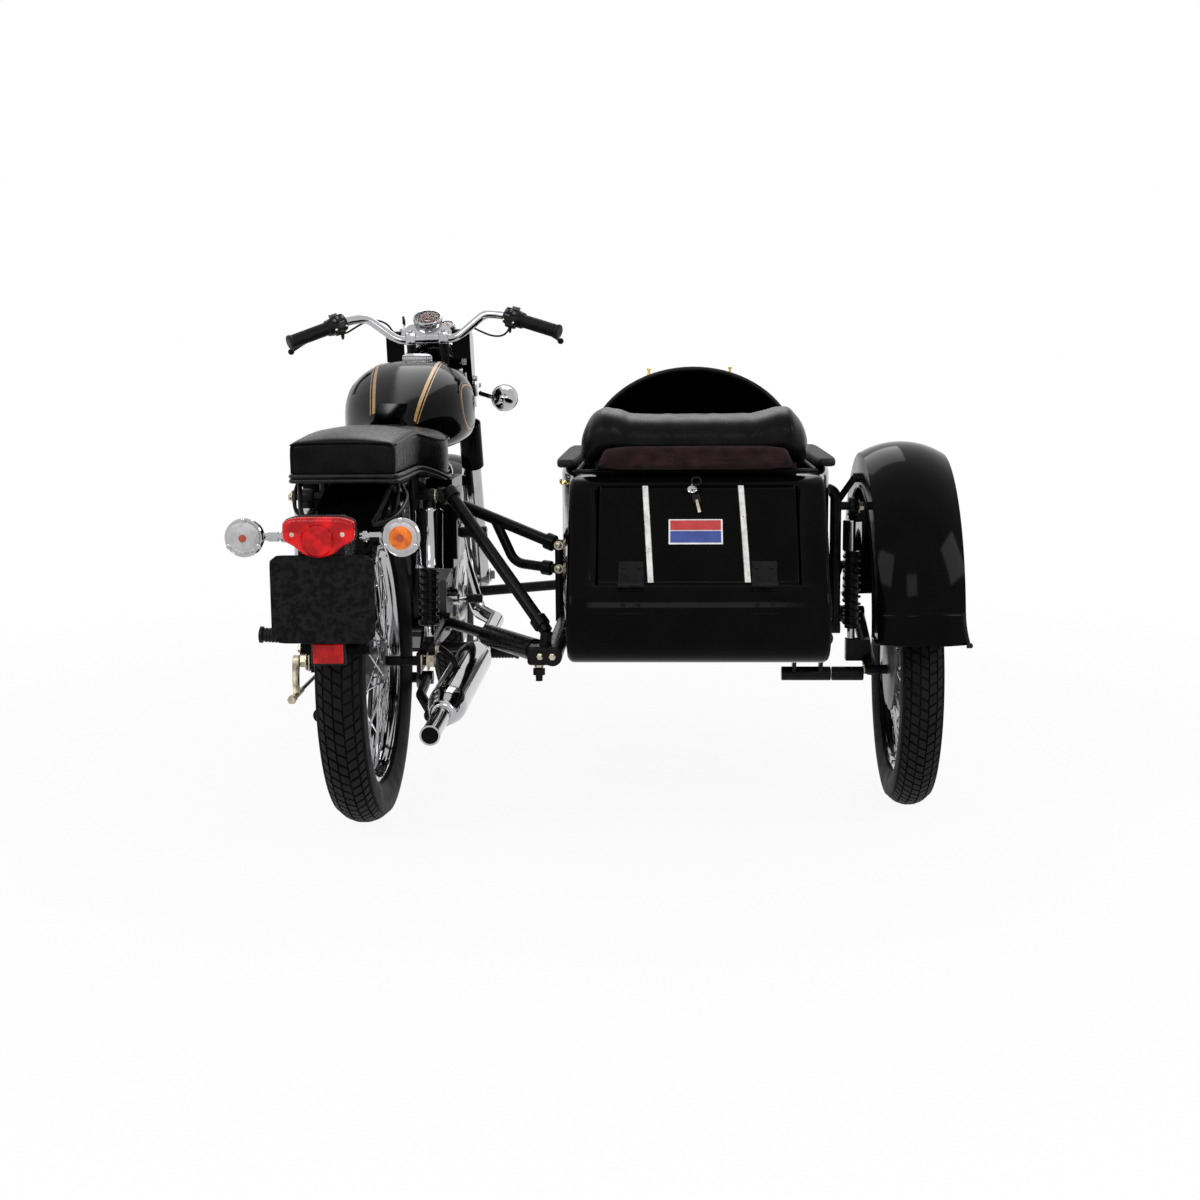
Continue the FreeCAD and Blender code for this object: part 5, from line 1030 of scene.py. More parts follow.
class OUTFIT_OT_tub(bpy.types.Operator):
    """Sidecar tub, boot lid and nose"""
    bl_idname = "outfit.tub"
    bl_label = "Tub, lid and nose"

    def execute(self, context):
        """Build the skins of the sidecar."""
        deck, rear, rest = tub_outline()
        outline = deck + rear + rest
        first, last = len(deck), len(deck) + len(rear)
        edge = 13.0
        skin = Form()
        loops = []
        for step in range(6):
            angle = pi / 2 * step / 5
            loops.append((edge - edge * sin(angle), inset(outline, edge * (1 - cos(angle)), False)))
        for side in (-1, 1):
            rings = []
            for back_off, shape in loops:
                rings.append([Vector((CAR + side * (tub_half(outline[n][0]) - back_off), shape[n][0],
                                      shape[n][1])) for n in range(len(outline))])
            skin.loft(rings, closed=False, ends=False)
            spine = [Vector((CAR + side * tub_half(outline[n][0]), loops[-1][1][n][0],
                             452.0)) for n in range(len(outline))]
            skin.loft([rings[-1], spine], closed=False, ends=False)
        columns = []
        for forward, up in outline:
            wide = tub_half(forward) - edge
            share = min(1.0, max(0.0, (forward + 90) / 80))
            cut = LID_HALF + LID_GAP
            cut += (min(COCKPIT_HALF, wide - 3) - cut) * share
            columns.append([Vector((CAR + x, forward, up)) for x in (-wide, -cut, cut, wide)])
        for row in range(len(outline) - 1):
            forward = (outline[row][0] + outline[row + 1][0]) / 2
            for column in range(3):
                in_lid = column == 1 and first - 1 < row < last - 1
                in_cockpit = column == 1 and forward > 0 and outline[row][1] > 600
                if in_lid or in_cockpit:
                    continue
                skin.add([columns[row][column], columns[row][column + 1], columns[row + 1][column + 1],
                          columns[row + 1][column]], [(0, 1, 2, 3)])
        wall = sizes().skin / MM
        skin.piece("tub_skin", paint(), replaces=("sidecar_tub",), sharp=40, thick=wall)
        self.lid(outline[first:last], wall)
        self.nose(wall)
        inner = Form()
        inner.plate([(-238, 392), (238, 392), (238, 706), (-238, 706)], (0, 4, 0), (CAR, -8, 0), X, Z)
        inner.piece("tub_bulkhead", satin_black())
        rim = Form()
        for side in (-1, 1):
            rim.tube([(CAR + side * COCKPIT_HALF, y, 717) for y in (2, 200, 420, 648)], 5, 10, 4)
        rim.tube([(CAR + x, 0, 717) for x in (-COCKPIT_HALF, -80, 80, COCKPIT_HALF)], 5, 10, 3)
        rim.piece("cockpit_edge", rubber(), sharp=180)
        return {"FINISHED"}

    def lid(self, line, wall):
        """The boot lid with its strips, hinges, lock and key."""
        half = LID_HALF
        panel = Form()
        rows = []
        for forward, up in line:
            rows.append([Vector((CAR + x, forward, up)) for x in (-half, -half + 3, -half * 0.5, 0,
                                                                  half * 0.5, half - 3, half)])
        panel.loft(rows, closed=False, ends=False)
        panel.piece("lid_panel", paint(), "boot_lid", replaces=("boot_lid",), sharp=60, thick=wall)

        def on_lid(share, lift):
            """A point over the lid's middle line with the directions along the line and out of it."""
            place_in = share * (len(line) - 1)
            low = min(int(place_in), len(line) - 2)
            part = place_in - low
            y = line[low][0] + (line[low + 1][0] - line[low][0]) * part
            z = line[low][1] + (line[low + 1][1] - line[low][1]) * part
            along = Vector((0, line[low + 1][0] - line[low][0], line[low + 1][1] - line[low][1])).normalized()
            out = along.cross(X).normalized()
            if out.y > 0:
                out = -out
            return Vector((0, y, z)) + out * lift, along, out

        def strip(form, middle, half, lip, lift, begin, end, steps, base=0.2):
            """A bar with sloped edges along the lid; middle(share) is its place across."""
            rings = []
            for step in range(steps + 1):
                share = begin + (end - begin) * step / steps
                centre, _, out = on_lid(share, base)
                x = middle(share)
                rings.append([centre + X * (x - half), centre + X * (x - half + lip) + out * lift,
                              centre + X * (x + half - lip) + out * lift, centre + X * (x + half)])
            form.loft(rings)

        strips = Form()
        studs = Form()
        for x_top, x_low in ((575, 587), (758, 767)):
            strip(strips, lambda share: x_top + (x_low - x_top) * share, 6, 1, 1.8, 0.01, 0.98, 24, 0.4)
            for share in (0.03, 0.34, 0.66, 0.96):
                centre, _, out = on_lid(share, 2.0)
                studs.lathe(centre + X * (x_top + (x_low - x_top) * share), out,
                            [(0, 2.4), (0.9, 2.2), (1.4, 0.1)], 12)
        strips.piece("lid_strips", alloy_strip(), "boot_lid")
        studs.piece("lid_strip_rivets", zinc(), "boot_lid")
        hinges = Form()
        for x in (550, 798):
            strip(hinges, lambda share: x, 24, 1, 2.2, 0.78, 0.985, 6)
            centre, _, out = on_lid(0.84, 2.2)
            for aside in (-14, 14):
                hinges.bolt(centre + X * (x + aside), out, 3.4)
        hinges.piece("lid_hinge_leaves", satin_black(), "boot_lid")
        fixed = Form()
        for x in (550, 798):
            leaf = []
            for forward, up in ((-303, 523), (-310, 513), (-316, 502), (-320.5, 490), (-323.5, 478)):
                leaf.append([Vector((x - 24, forward, up)), Vector((x - 23, forward - 2.6, up - 0.6)),
                             Vector((x + 23, forward - 2.6, up - 0.6)), Vector((x + 24, forward, up))])
            fixed.loft(leaf)
            fixed.tube([(x + side, -309.5, 528.5) for side in (-24, -8, 8, 24)], 5.5, 14, 1)
            for aside in (-14, 14):
                fixed.bolt((x + aside, -323.2, 492), (0, -1, -0.3), 3.4)
        fixed.piece("tub_hinge_leaves", satin_black())
        lock = Form()
        lock_x = 665
        centre, _, out = on_lid(0.05, 0.2)
        lock.lathe(centre + X * lock_x, out, [(0, 9), (3, 9), (4, 7.5), (4.2, 0.1)], 28)
        centre, along, out = on_lid(0.05, 4.0)
        hanging = centre + X * lock_x
        lock.slab(hanging + out * 5, (3, 9, 14), Matrix((X, out, along)).transposed(), 1)
        lock.piece("boot_lock", chrome(), "boot_lid")
        head, blade = Form(), Form()
        middle = hanging + out * 10 - along * 11 + X * 8
        head.tube([middle + X * u + along * v for u, v in arc(0, 0, 9, 0, 2 * pi, 24)], 1.6, 8, 1, False)
        for form, share, aside, wide, long in ((head, 0.155, 8, 15, 20), (blade, 0.235, 11, 6, 30)):
            centre, along, out = on_lid(share, 4.6)
            lean = (along * cos(0.18) + X * sin(0.18)).normalized()
            turn = Matrix((out.cross(lean), out, lean)).transposed()
            form.slab(centre + X * (lock_x + aside), (wide, 2.2, long), turn, 0.9)
        head.piece("boot_key_head", black_plastic(), "boot_lid")
        blade.piece("boot_key_blade", zinc(), "boot_lid")
        red = finish("sign_red", (0.42, 0.03, 0.03), rough=0.35, mottle=(0.1, 50))
        blue = finish("sign_blue", (0.03, 0.06, 0.26), rough=0.35, mottle=(0.1, 50))
        white = finish("sign_white", (0.75, 0.75, 0.75), rough=0.4, mottle=(0.06, 50))
        for name, material, begin, end, wide, lift in (
                ("edge", white, 0.36, 0.61, 51, 0.8), ("top", red, 0.372, 0.47, 48, 1.4),
                ("low", blue, 0.48, 0.595, 48, 1.4)):
            sign = Form()
            strip(sign, lambda share: 671, wide, 0.4, lift, begin, end, 4)
            sign.piece("boot_sign_" + name, material, "boot_lid")

    def nose(self, wall):
        """The nose with its arched cowl."""
        # Each ring as shares: along the nose, half width, floor, deck, the cowl's half width and its rise
        shares = [(0.0, 1.0, 0.0, 1.0, 1.0, 1.0), (0.09, 0.992, 0.006, 1.0, 0.985, 0.94),
                  (0.2, 0.972, 0.022, 0.995, 0.95, 0.83), (0.35, 0.93, 0.06, 0.985, 0.88, 0.66),
                  (0.52, 0.845, 0.135, 0.957, 0.78, 0.48), (0.68, 0.72, 0.22, 0.92, 0.66, 0.34),
                  (0.80, 0.59, 0.32, 0.877, 0.53, 0.23), (0.90, 0.44, 0.42, 0.83, 0.40, 0.14),
                  (0.97, 0.30, 0.50, 0.775, 0.28, 0.08), (1.0, 0.24, 0.54, 0.75, 0.22, 0.05)]
        rings = []
        lip, tall = 12, TUB_TOP - TUB_FLOOR
        for along, half_share, low_share, deck_share, crown_share, rise_share in shares:
            forward = SCUTTLE + NOSE_LENGTH * along
            half = TUB_HALF * half_share
            low, deck = TUB_FLOOR + tall * low_share, TUB_FLOOR + tall * deck_share
            corner = 40 * (0.5 + 0.5 * half_share)
            ring = arc(half - corner, low + corner, corner, -pi / 2, 0, 6)
            ring += arc(half - lip, deck - lip, lip, 0, pi / 2, 4)
            ring += arc(0, deck, COWL_HALF * crown_share, 0, pi, 28, COWL_RISE * rise_share)
            ring += arc(lip - half, deck - lip, lip, pi / 2, pi, 4)
            ring += arc(corner - half, low + corner, corner, pi, 1.5 * pi, 6)
            rings.append([Vector((CAR + x, forward, z)) for x, z in ring])
        shell = Form()
        shell.loft(rings, ends=False)
        shell.add(rings[-1], [tuple(range(len(rings[0])))])
        shell.piece("nose_shell", paint(), replaces=("sidecar_nose",), sharp=30, thick=wall)
        arch = Form()
        arch.tube([(x, 648, z) for x, z in arc(CAR, TUB_TOP, COWL_HALF, 0, pi, 40, COWL_RISE)], 5.5, 10, 1)
        arch.piece("cowl_edge", rubber(), sharp=180)
        studs = Form()
        for x, z in ((572, 899), (764, 901)):
            studs.lathe((x, 655, z - 4), Z, [(0, 5), (7, 5), (8, 3), (16, 3), (17, 4.6), (21, 4.6), (22, 3)],
                        16)
        studs.piece("cowl_studs", brass())
        hook = Form()
        hook.tube([(418, 60, 700), (408, 60, 694), (402, 60, 688), (398, 60, 692), (399, 60, 698)], 2.4, 8, 4)
        hook.lathe((421, 60, 702), (-1, 0, 0), [(0, 7), (4, 7), (6, 4)], 16)
        hook.piece("cover_hook", brass())


class OUTFIT_OT_upholstery(bpy.types.Operator):
    """Bolster, cushions and deck pads of the sidecar"""
    bl_idname = "outfit.upholstery"
    bl_label = "Upholstery"

    def execute(self, context):
        """Make the padded pieces."""
        roll = Form()
        rings = []
        steps = 36
        for number in range(steps + 1):
            u = -1 + 2 * number / steps
            x = 670 + 225 * u
            end = max(0.0, 1 - abs(u) ** 9) ** 0.5
            horn = exp(-((abs(u) - 0.78) / 0.16) ** 2) * 15
            fall = max(0.0, (abs(u) - 0.82) / 0.18)
            crease = (1.6 * sin(u * 47) + 1.1 * sin(u * 83 + 1)) * (1 + 2.2 * horn / 15)
            middle_y, middle_z = -22, 787 + horn * 0.68 - 24 * fall
            deep, tall = 112 * (0.35 + 0.65 * end), (46 + horn * 0.45 + 18 * fall) * (0.3 + 0.7 * end)
            ring = []
            for step in range(24):
                a = 2 * pi * step / 24
                c, s = cos(a), sin(a)
                shape = 1 + 0.012 * crease * (1 if s > 0 else 0.4)
                ring.append(Vector((x, middle_y + copysign(abs(c) ** 0.8, c) * deep * shape,
                                    middle_z + copysign(abs(s) ** 0.85, s) * tall * shape)))
            rings.append(ring)
        roll.loft(rings)
        roll.pad("sidecar_bolster", vinyl(), 0.7, ("sidecar_backrest",))
        cloth = Form()
        outline = rounded([(478, 729), (864, 729), (846, 775), (498, 775)], 3, 0.12)
        pillow(cloth, outline, lambda u, v, w: Vector((u,
                                                       -118 - w - 2.5 * sin(u / 17.0)
                                                       - 2 * sin(v / 9.0 + u / 40), v)), 27.0, 12.0, 5)
        cloth.pad("backrest_lining", maroon(), 0.4)
        front = Form()
        outline = rounded([(470, 500), (880, 500), (880, 792), (470, 792)], 3, 0.1)
        pillow(front, outline, lambda u, v, w: Vector((u, 6 + w + 34 * (780 - v) / 270.0 + 2 * sin(u / 21.0),
                                                       v)), 66.0, 22.0, 5)
        front.pad("backrest_cushion", maroon(), 0.6)
        seat = Form()
        outline = rounded([(446, 60), (904, 60), (904, 468), (446, 468)], 3, 0.1)
        pillow(seat, outline, lambda u, v, w: Vector((u, v,
                                                      390 + w + (2.5 * sin(u / 30.0)
                                                                 + 2 * sin(v / 26.0)) * (w > 20))), 108.0,
               30.0, 6)
        seat.pad("sidecar_cushion_pad", maroon(), 0.6, ("sidecar_cushion",))
        for side in (-1, 1):
            pad = Form()
            outline = rounded([(-22, 20), (22, 20), (22, 560), (-22, 560)], 3, 0.12)
            pillow(pad, outline, lambda u, v, w: Vector((CAR + side * 264 + u, v, 716.5 + w)), 24.0, 8.0, 5)
            pad.pad("deck_pad_" + ("left" if side < 0 else "right"), grey_cloth(), 0.8, ("deck_pads",))
        return {"FINISHED"}


class OUTFIT_OT_fenders(bpy.types.Operator):
    """Bead, flap and studs of the sidecar's mudguard"""
    bl_idname = "outfit.fenders"
    bl_label = "Mudguard beads"

    def execute(self, context):
        """Roll a bead round the open edges."""
        bead = Form()
        centre = Vector((1103, 147, 401))
        half, top, droop = 84, 366, 84 * 2 * 0.14
        out = top - droop - 70

        def edge(side, angle, radius):
            """A point on one edge of the sidecar's mudguard."""
            return centre + Vector((side * half, -radius * cos(angle), radius * sin(angle)))

        for side in (-1, 1):
            line = [edge(side, pi * step / 40, out) for step in range(41)]
            bead.tube(line, 3.2, 8, 1)
        crown = []
        for step in range(17):
            across = -half + 2 * half * step / 16
            crown.append((across, top - droop * (across / half) ** 2))
        rear = [edge(-1, 0, out)] + [centre + Vector((x, -r, -1)) for x, r in crown] + [edge(1, 0, out)]
        bead.tube(rear, 4.2, 10, 1)
        front = [edge(-1, pi, out)] + [centre + Vector((x, r, -1)) for x, r in crown] + [edge(1, pi, out)]
        bead.tube(front, 4.2, 10, 1)
        bead.piece("sidecar_guard_bead", paint(), sharp=180)
        flap = Form()
        rows = []
        for step in range(9):
            share = (step / 8) ** 2
            angle = radians(9.5 - 10.0 * step / 8)
            lift, wide = 1.2 + 7.0 * share, 1 + 0.05 * share
            rows.append([centre + Vector((across * wide + 4 * share, -(rise + lift) * cos(angle),
                                          (rise + lift) * sin(angle))) for across, rise in crown])
        flap.loft(rows, closed=False, ends=False)
        flap.piece("sidecar_guard_flap", paint(), sharp=60, thick=2.2)
        ends = Form()
        ends.lathe(centre + Vector((88, -out + 4, -4)), X, [(0, 5), (6, 5), (8, 3)], 14)
        ends.lathe(centre + Vector((88, -356, -4)), X, [(-4, 5), (5, 5), (7, 3)], 14)
        ends.piece("sidecar_guard_studs", rubber())
        return {"FINISHED"}


def sphere(form, centre, radius, steps=20):
    """A ball."""
    profile = [(along, max(0.05, out)) for along, out in arc(0, 0, radius, pi, 0, 12)]
    form.lathe(centre, X, profile, steps)


def spring(form, start, end, coil, wire, turns):
    """A coil spring between two points."""
    _, side, up = basis(end - start)
    count = int(turns * 18)
    line = []
    for step in range(count + 1):
        angle = 2 * pi * turns * step / count
        line.append(start.lerp(end, step / count) + (side * cos(angle) + up * sin(angle)) * coil)
    form.tube(line, wire, 8, 1)


def dial(name, centre, axis, radius, face, marks, hand, body, ticks):
    """A round instrument: bezel, face, ticks, hand and glass."""
    axis, side, up = basis(axis)
    if up.y < 0:
        side, up = -side, -up
    ring = Form()
    ring.lathe(centre, axis, [(-16, radius - 2), (-16, radius + 1), (-6, radius + 2.2), (0, radius + 2.2),
                              (3, radius + 0.4), (3.2, radius - 2.4), (1.0, radius - 3.4)], 56, loop=True)
    ring.piece(name + "_bezel", chrome(), body, replaces=("instruments",))
    back = Form()
    back.lathe(centre, axis, [(-16, radius - 2), (-1.6, radius - 2), (-1.5, radius - 4), (-1.5, 0.1)], 48)
    back.piece(name + "_face", face, body)
    drawn = Form()
    for number in range(ticks):
        angle = radians(225 - 270 * number / (ticks - 1))
        out = side * cos(angle) + up * sin(angle)
        long = 0.16 if number % 2 == 0 else 0.09
        turn = Matrix((out, axis.cross(out), axis)).transposed()
        drawn.slab(centre + out * radius * (0.84 - long / 2) - axis * 1.1,
                   (radius * long, radius * 0.028, 0.6), turn, 0.1)
    drawn.slab(centre - up * radius * 0.34 - axis * 1.1, (radius * 0.34, radius * 0.1, 0.6),
               Matrix((side, up, axis)).transposed(), 0.1)
    drawn.piece(name + "_marks", marks, body)
    pointer = Form()
    pointer.lathe(centre - axis * 1.3, axis, [(0, radius * 0.56), (0.4, radius * 0.56), (0.4, radius * 0.51),
                                              (0, radius * 0.51)], 48, loop=True)
    angle = radians(218)
    out = side * cos(angle) + up * sin(angle)
    pointer.slab(centre + out * radius * 0.3 - axis * 0.4, (radius * 0.86, radius * 0.045, 0.7),
                 Matrix((out, axis.cross(out), axis)).transposed(), 0.1)
    pointer.lathe(centre, axis, [(-1.2, radius * 0.11), (0.6, radius * 0.11), (0.9, radius * 0.07),
                                 (0.9, 0.1)], 20)
    pointer.piece(name + "_hand", hand, body)
    glass = Form()
    glass.lathe(centre, axis, [(1.1, radius - 3), (2.4, radius * 0.8), (3.4, radius * 0.45), (3.8, 0.1)], 48)
    glass.piece(name + "_glass", window(), body, thick=0.8)


def window():
    """Clear glass of the instruments."""
    return finish("window_glass", (0.95, 0.95, 0.95), rough=0.03, mottle=(0.02, 20), haze=0.01, specular=0.1,
                  clear=1.0, bend=1.08)


class OUTFIT_OT_controls(bpy.types.Operator):
    """Grips, switches, levers and cables of the handlebar"""
    bl_idname = "outfit.controls"
    bl_label = "Handlebar controls"

    def execute(self, context):
        """Make both hands' controls."""
        for side in (-1, 1):
            self.hand(side, "left" if side < 0 else "right")
        right = [Vector(place) for place in ((75, 984, 990), (152, 980, 1050), GRIP_ROOT, GRIP_TIP)]
        corners = [Vector((-place.x, place.y, place.z)) for place in reversed(right)] + right
        line = [corners[0]]
        for before, corner, after in zip(corners, corners[1:], corners[2:]):
            start = corner + (before - corner).normalized() * 19
            end = corner + (after - corner).normalized() * 19
            for step in range(9):
                share = step / 8
                line.append(start.lerp(corner, share).lerp(corner.lerp(end, share), share))
        line.append(corners[-1])
        bar = Form()
        bar.tube(line, 11, 24, 1)
        bar.piece("handlebar_tube", chrome(), "steering", replaces=("handlebar",), sharp=60)
        risers = Form()
        for side in (-1, 1):
            risers.rod((side * 42, 1000, 920), (side * 42, 984, 988), 12)
        risers.piece("handlebar_risers", satin_black(), "steering")
        clamps = Form()
        for side in (-1, 1):
            clamps.slab((side * 42, 984, 994), (26, 34, 34), round_by=5)
            for ahead in (-11, 11):
                clamps.bolt((side * 42, 984 + ahead, 1010), (0, 0, 1), 4.5)
        clamps.bolt(on_fork(689), UP_FORK, 15, 14)
        for side in (-1, 1):
            clamps.bolt(on_fork(686, 60, side * 88), UP_FORK, 13, 10)
        clamps.piece("handlebar_clamps", chrome(), "steering")
        return {"FINISHED"}

    def hand(self, side, name):
        """One hand's grip, switch block, lever and cable."""
        root, tip = (Vector((side * x, y, z)) for x, y, z in (GRIP_ROOT, GRIP_TIP))
        along = (tip - root).normalized()
        ahead = (Y - along * along.y).normalized()
        above = along.cross(ahead) * side
        turn = Matrix((along, ahead, above)).transposed()
        foot = root + along * 30.8
        grip = Form()
        profile = [(0, 11.3), (0, 19.5), (1.5, 20.5), (4, 20.5), (5.5, 17)]
        profile += ribs(7, 3.9, 25, 16.1, 17.0, 3.0, 0.6)
        profile += [(106, 17.2), (108, 19.0), (112, 19.0), (114, 17), (114.2, 8), (114.2, 0.1)]
        grip.lathe(root + along * 54.8, along, profile, 32)
        grip.piece(name + "_grip", rubber(), "steering", replaces=("grips",), sharp=50)
        block = Form()
        block.slab(foot - ahead * 2 + above * 1, (43, 42, 43), turn, 9)
        block.slab(foot - ahead * 16 + above * 12, (34, 18, 22), turn, 6)
        block.slab(foot + along * 4 - ahead * 12 - above * 20, (26, 22, 14), turn, 5)
        block.lathe(root + along * 8, along, [(0, 12), (0, 19), (3, 21), (43, 21), (46, 19), (46, 12)], 32)
        block.slab(foot + ahead * 20 - above * 3, (24, 34, 20), turn, 5)
        block.piece(name + "_switch_block", black_plastic(), "steering", replaces=("hand_controls",))
        knobs = Form()
        for out, up in ((-11, 13), (2, 15), (12, 11)):
            knobs.lathe(foot - ahead * 23 + along * out + above * up, -ahead,
                        [(0, 4.6), (4, 4.4), (5.5, 3.4), (5.6, 0.1)], 20)
        knobs.slab(foot - ahead * 25 - along * 5 + above * 2, (15, 7, 5), turn, 2)
        knobs.slab(foot - ahead * 6 + above * 25, (16, 10, 8), turn, 2.5)
        knobs.slab(foot + along * 12 - ahead * 8 + above * 24, (6, 5, 12), turn, 2)
        knobs.piece(name + "_switch_knobs", finish("switch_knob", (0.06, 0.06, 0.06), rough=0.35,
                                                   mottle=(0.2, 80), grain=(0.1, 900)), "steering")
        screws = Form()
        for out in (-15, 15):
            screws.lathe(foot - ahead * 20.5 + along * out - above * 12, -ahead,
                         [(0, 3), (3, 3), (3.6, 2), (3.6, 0.1)], 14)
        perch = foot + ahead * 34 - Z * 7
        screws.bolt(perch + Z * 9, Z, 5)
        screws.bolt(perch - Z * 9, -Z, 5)
        screws.tube([perch - along * 12, perch - along * 24, perch - along * 31], 4.2, 12, 1)
        screws.piece(name + "_control_screws", zinc(), "steering")
        lever = Form()
        bow = perch + along * 60 + ahead * 18
        end = perch + along * 120 + ahead * 5 - Z * 14
        lever.tube([perch - along * 6, perch + along * 16 + ahead * 7, bow - along * 8,
                    bow + along * 20 - ahead * 2 - Z * 4, end], [6.5, 5.8, 4.8, 4.4, 3.8], 14, 6)
        sphere(lever, end, 8)
        lever.lathe(perch - Z * 8, Z, [(0, 10), (2, 11), (14, 11), (16, 10)], 24)
        lever.piece(name + "_lever", satin_black(), "steering")
        route = ((214, 949, 1012), (206, 944, 997), (188, 951, 990), (165, 967, 993), (140, 985, 1004),
                 (118, 1004, 1016), (101, 1028, 1021), (96, 1052, 1010))
        if side < 0:
            route = ((-212, 952, 1012), (-203, 966, 1014), (-186, 986, 1026), (-162, 1003, 1040),
                     (-138, 1012, 1046), (-114, 1024, 1040), (-98, 1040, 1026), (-94, 1056, 1010))
        line = [Vector(place_at) for place_at in route]
        cable(name + "_cable", line, 2.5, "steering")
        ferrules = Form()
        ferrules.lathe(line[0] + Z * 1, -Z, [(0, 4.5), (9, 4.5), (10, 3.4), (15, 3.2)], 16)
        ferrules.lathe(line[-1] + (line[-1] - line[-2]).normalized() * 1, line[-2] - line[-1],
                       [(0, 5), (5, 5), (6, 3.6), (12, 3.4)], 16)
        ferrules.piece(name + "_cable_ends", black_plastic(), "steering")


def cable(name, line, radius, body):
    """A control cable: a round spline whose control points are the corners of its route."""
    curve = bpy.data.curves.new(name, "CURVE")
    curve.dimensions = "3D"
    curve.bevel_depth = radius * MM
    curve.bevel_resolution = 4
    curve.use_fill_caps = True
    matrix = to_frame(body)
    spline = curve.splines.new("NURBS")
    spline.points.add(len(line) - 1)
    for point, place_at in zip(spline.points, line):
        point.co = (*(matrix @ place_at), 1.0)
    spline.order_u = 3
    spline.use_endpoint_u = True
    spline.resolution_u = 12
    curve.materials.append(rubber())
    thing = bpy.data.objects.new(name, curve)
    bpy.context.scene.collection.objects.link(thing)
    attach(thing, body)


class OUTFIT_OT_nacelle(bpy.types.Operator):
    """Instruments, key and headlamp"""
    bl_idname = "outfit.nacelle"
    bl_label = "Instruments and headlamp"

    def execute(self, context):
        """Fill the lamp casing."""
        black_face = finish("dial_black", (0.02, 0.02, 0.022), rough=0.5, mottle=(0.1, 60))
        white_face = finish("dial_white", (0.6, 0.6, 0.56), rough=0.5, mottle=(0.1, 60))
        red_hand = finish("hand_red", (0.5, 0.02, 0.01), rough=0.4, mottle=(0.1, 60))
        dial("speedometer", Vector((0, 1034, 1046)), DIAL_AXIS, 36.0, black_face, white_face, red_hand,
             "steering", 13)
        dial("ammeter", Vector((50, 1034, 1027)), DIAL_AXIS, 18.0, white_face, black_face, red_hand,
             "steering", 7)
        seat = Form()
        seat.lathe((0, 1046, 1026), DIAL_AXIS, [(-14, 42), (-4, 43), (2, 40), (8, 38)], 48)
        seat.lathe((50, 1040, 1017), DIAL_AXIS, [(-6, 22), (0, 22), (3, 20)], 32)
        seat.plate(rounded([(-68, -8), (62, -8), (62, 26), (42, 52), (-46, 52), (-68, 26)], 3, 0.12),
                   (0, -3.4, 3.2), (0, 996, 990), X, (0, 0.68, 0.73))
        for aside in (-54, 48):
            seat.bolt((aside, 999, 1000), (0, -0.73, 0.68), 4)
        seat.piece("instrument_seats", chrome(), "steering")
        lock = Form()
        lock.lathe((-64, 1046, 1008), Z, [(0, 14), (6, 14), (8, 12), (12, 11.5), (13, 10), (13, 0.1)], 32)
        lock.slab((-64, 1046, 1026), (2.2, 8, 14), round_by=0.8)
        lock.piece("ignition_lock", chrome(), "steering")
        head = Form()
        head.slab((-64, 1046, 1042), (5, 20, 22), round_by=2.4)
        head.tube([Vector((-64, 1046 + 9 * cos(a), 1036 + 9 * sin(a))) + X * 3 for a in
                   (2 * pi * n / 20 for n in range(21))], 0.9, 6, 1, False)
        head.piece("ignition_key", black_plastic(), "steering")
        rim = Form()
        face = (0, 1176, 896)
        rim.lathe(face, Y, [(0.5, 88), (0.5, 94), (6, 97.5), (20, 98), (27, 96), (32, 90), (32, 87.5),
                            (29, 86)], 72, loop=True)
        rim.piece("headlamp_rim", chrome(), "steering", replaces=("headlamp",))
        bowl = Form()
        bowl.lathe(face, Y, [(28, 86), (14, 74), (-2, 54), (-14, 30), (-20, 12), (-21, 0.1)], 56)
        bowl.piece("headlamp_reflector", chrome(), "steering", thick=1.0)
        lens = Form()
        lens.lathe(face, Y, [(29, 87), (35, 83), (42, 62), (47, 34), (49, 0.1)], 56)
        lens.piece("headlamp_lens", finish("headlamp_glass", (0.9, 0.9, 0.9), rough=0.05, mottle=(0.05, 40),
                                           grain=(0.5, 160), haze=0.02, clear=0.9, pattern="flutes"),
                   "steering", thick=2.0)
        bulb = Form()
        sphere(bulb, Vector((0, 1180, 896)), 11)
        bulb.rod((0, 1168, 896), (0, 1152, 896), 9)
        bulb.piece("headlamp_bulb", clear_lens(), "steering")
        trims = Form()
        for side in (-1, 1):
            trims.bolt((side * 108.4, 1120, 884), X * side, 8)
            trims.bolt((side * 120.4, 1098, 866), X * side, 6)
        trims.bolt((0, 1200, 993.5), (0, 0.4, 1), 4)
        trims.piece("casing_bolts", chrome(), "steering")
        return {"FINISHED"}


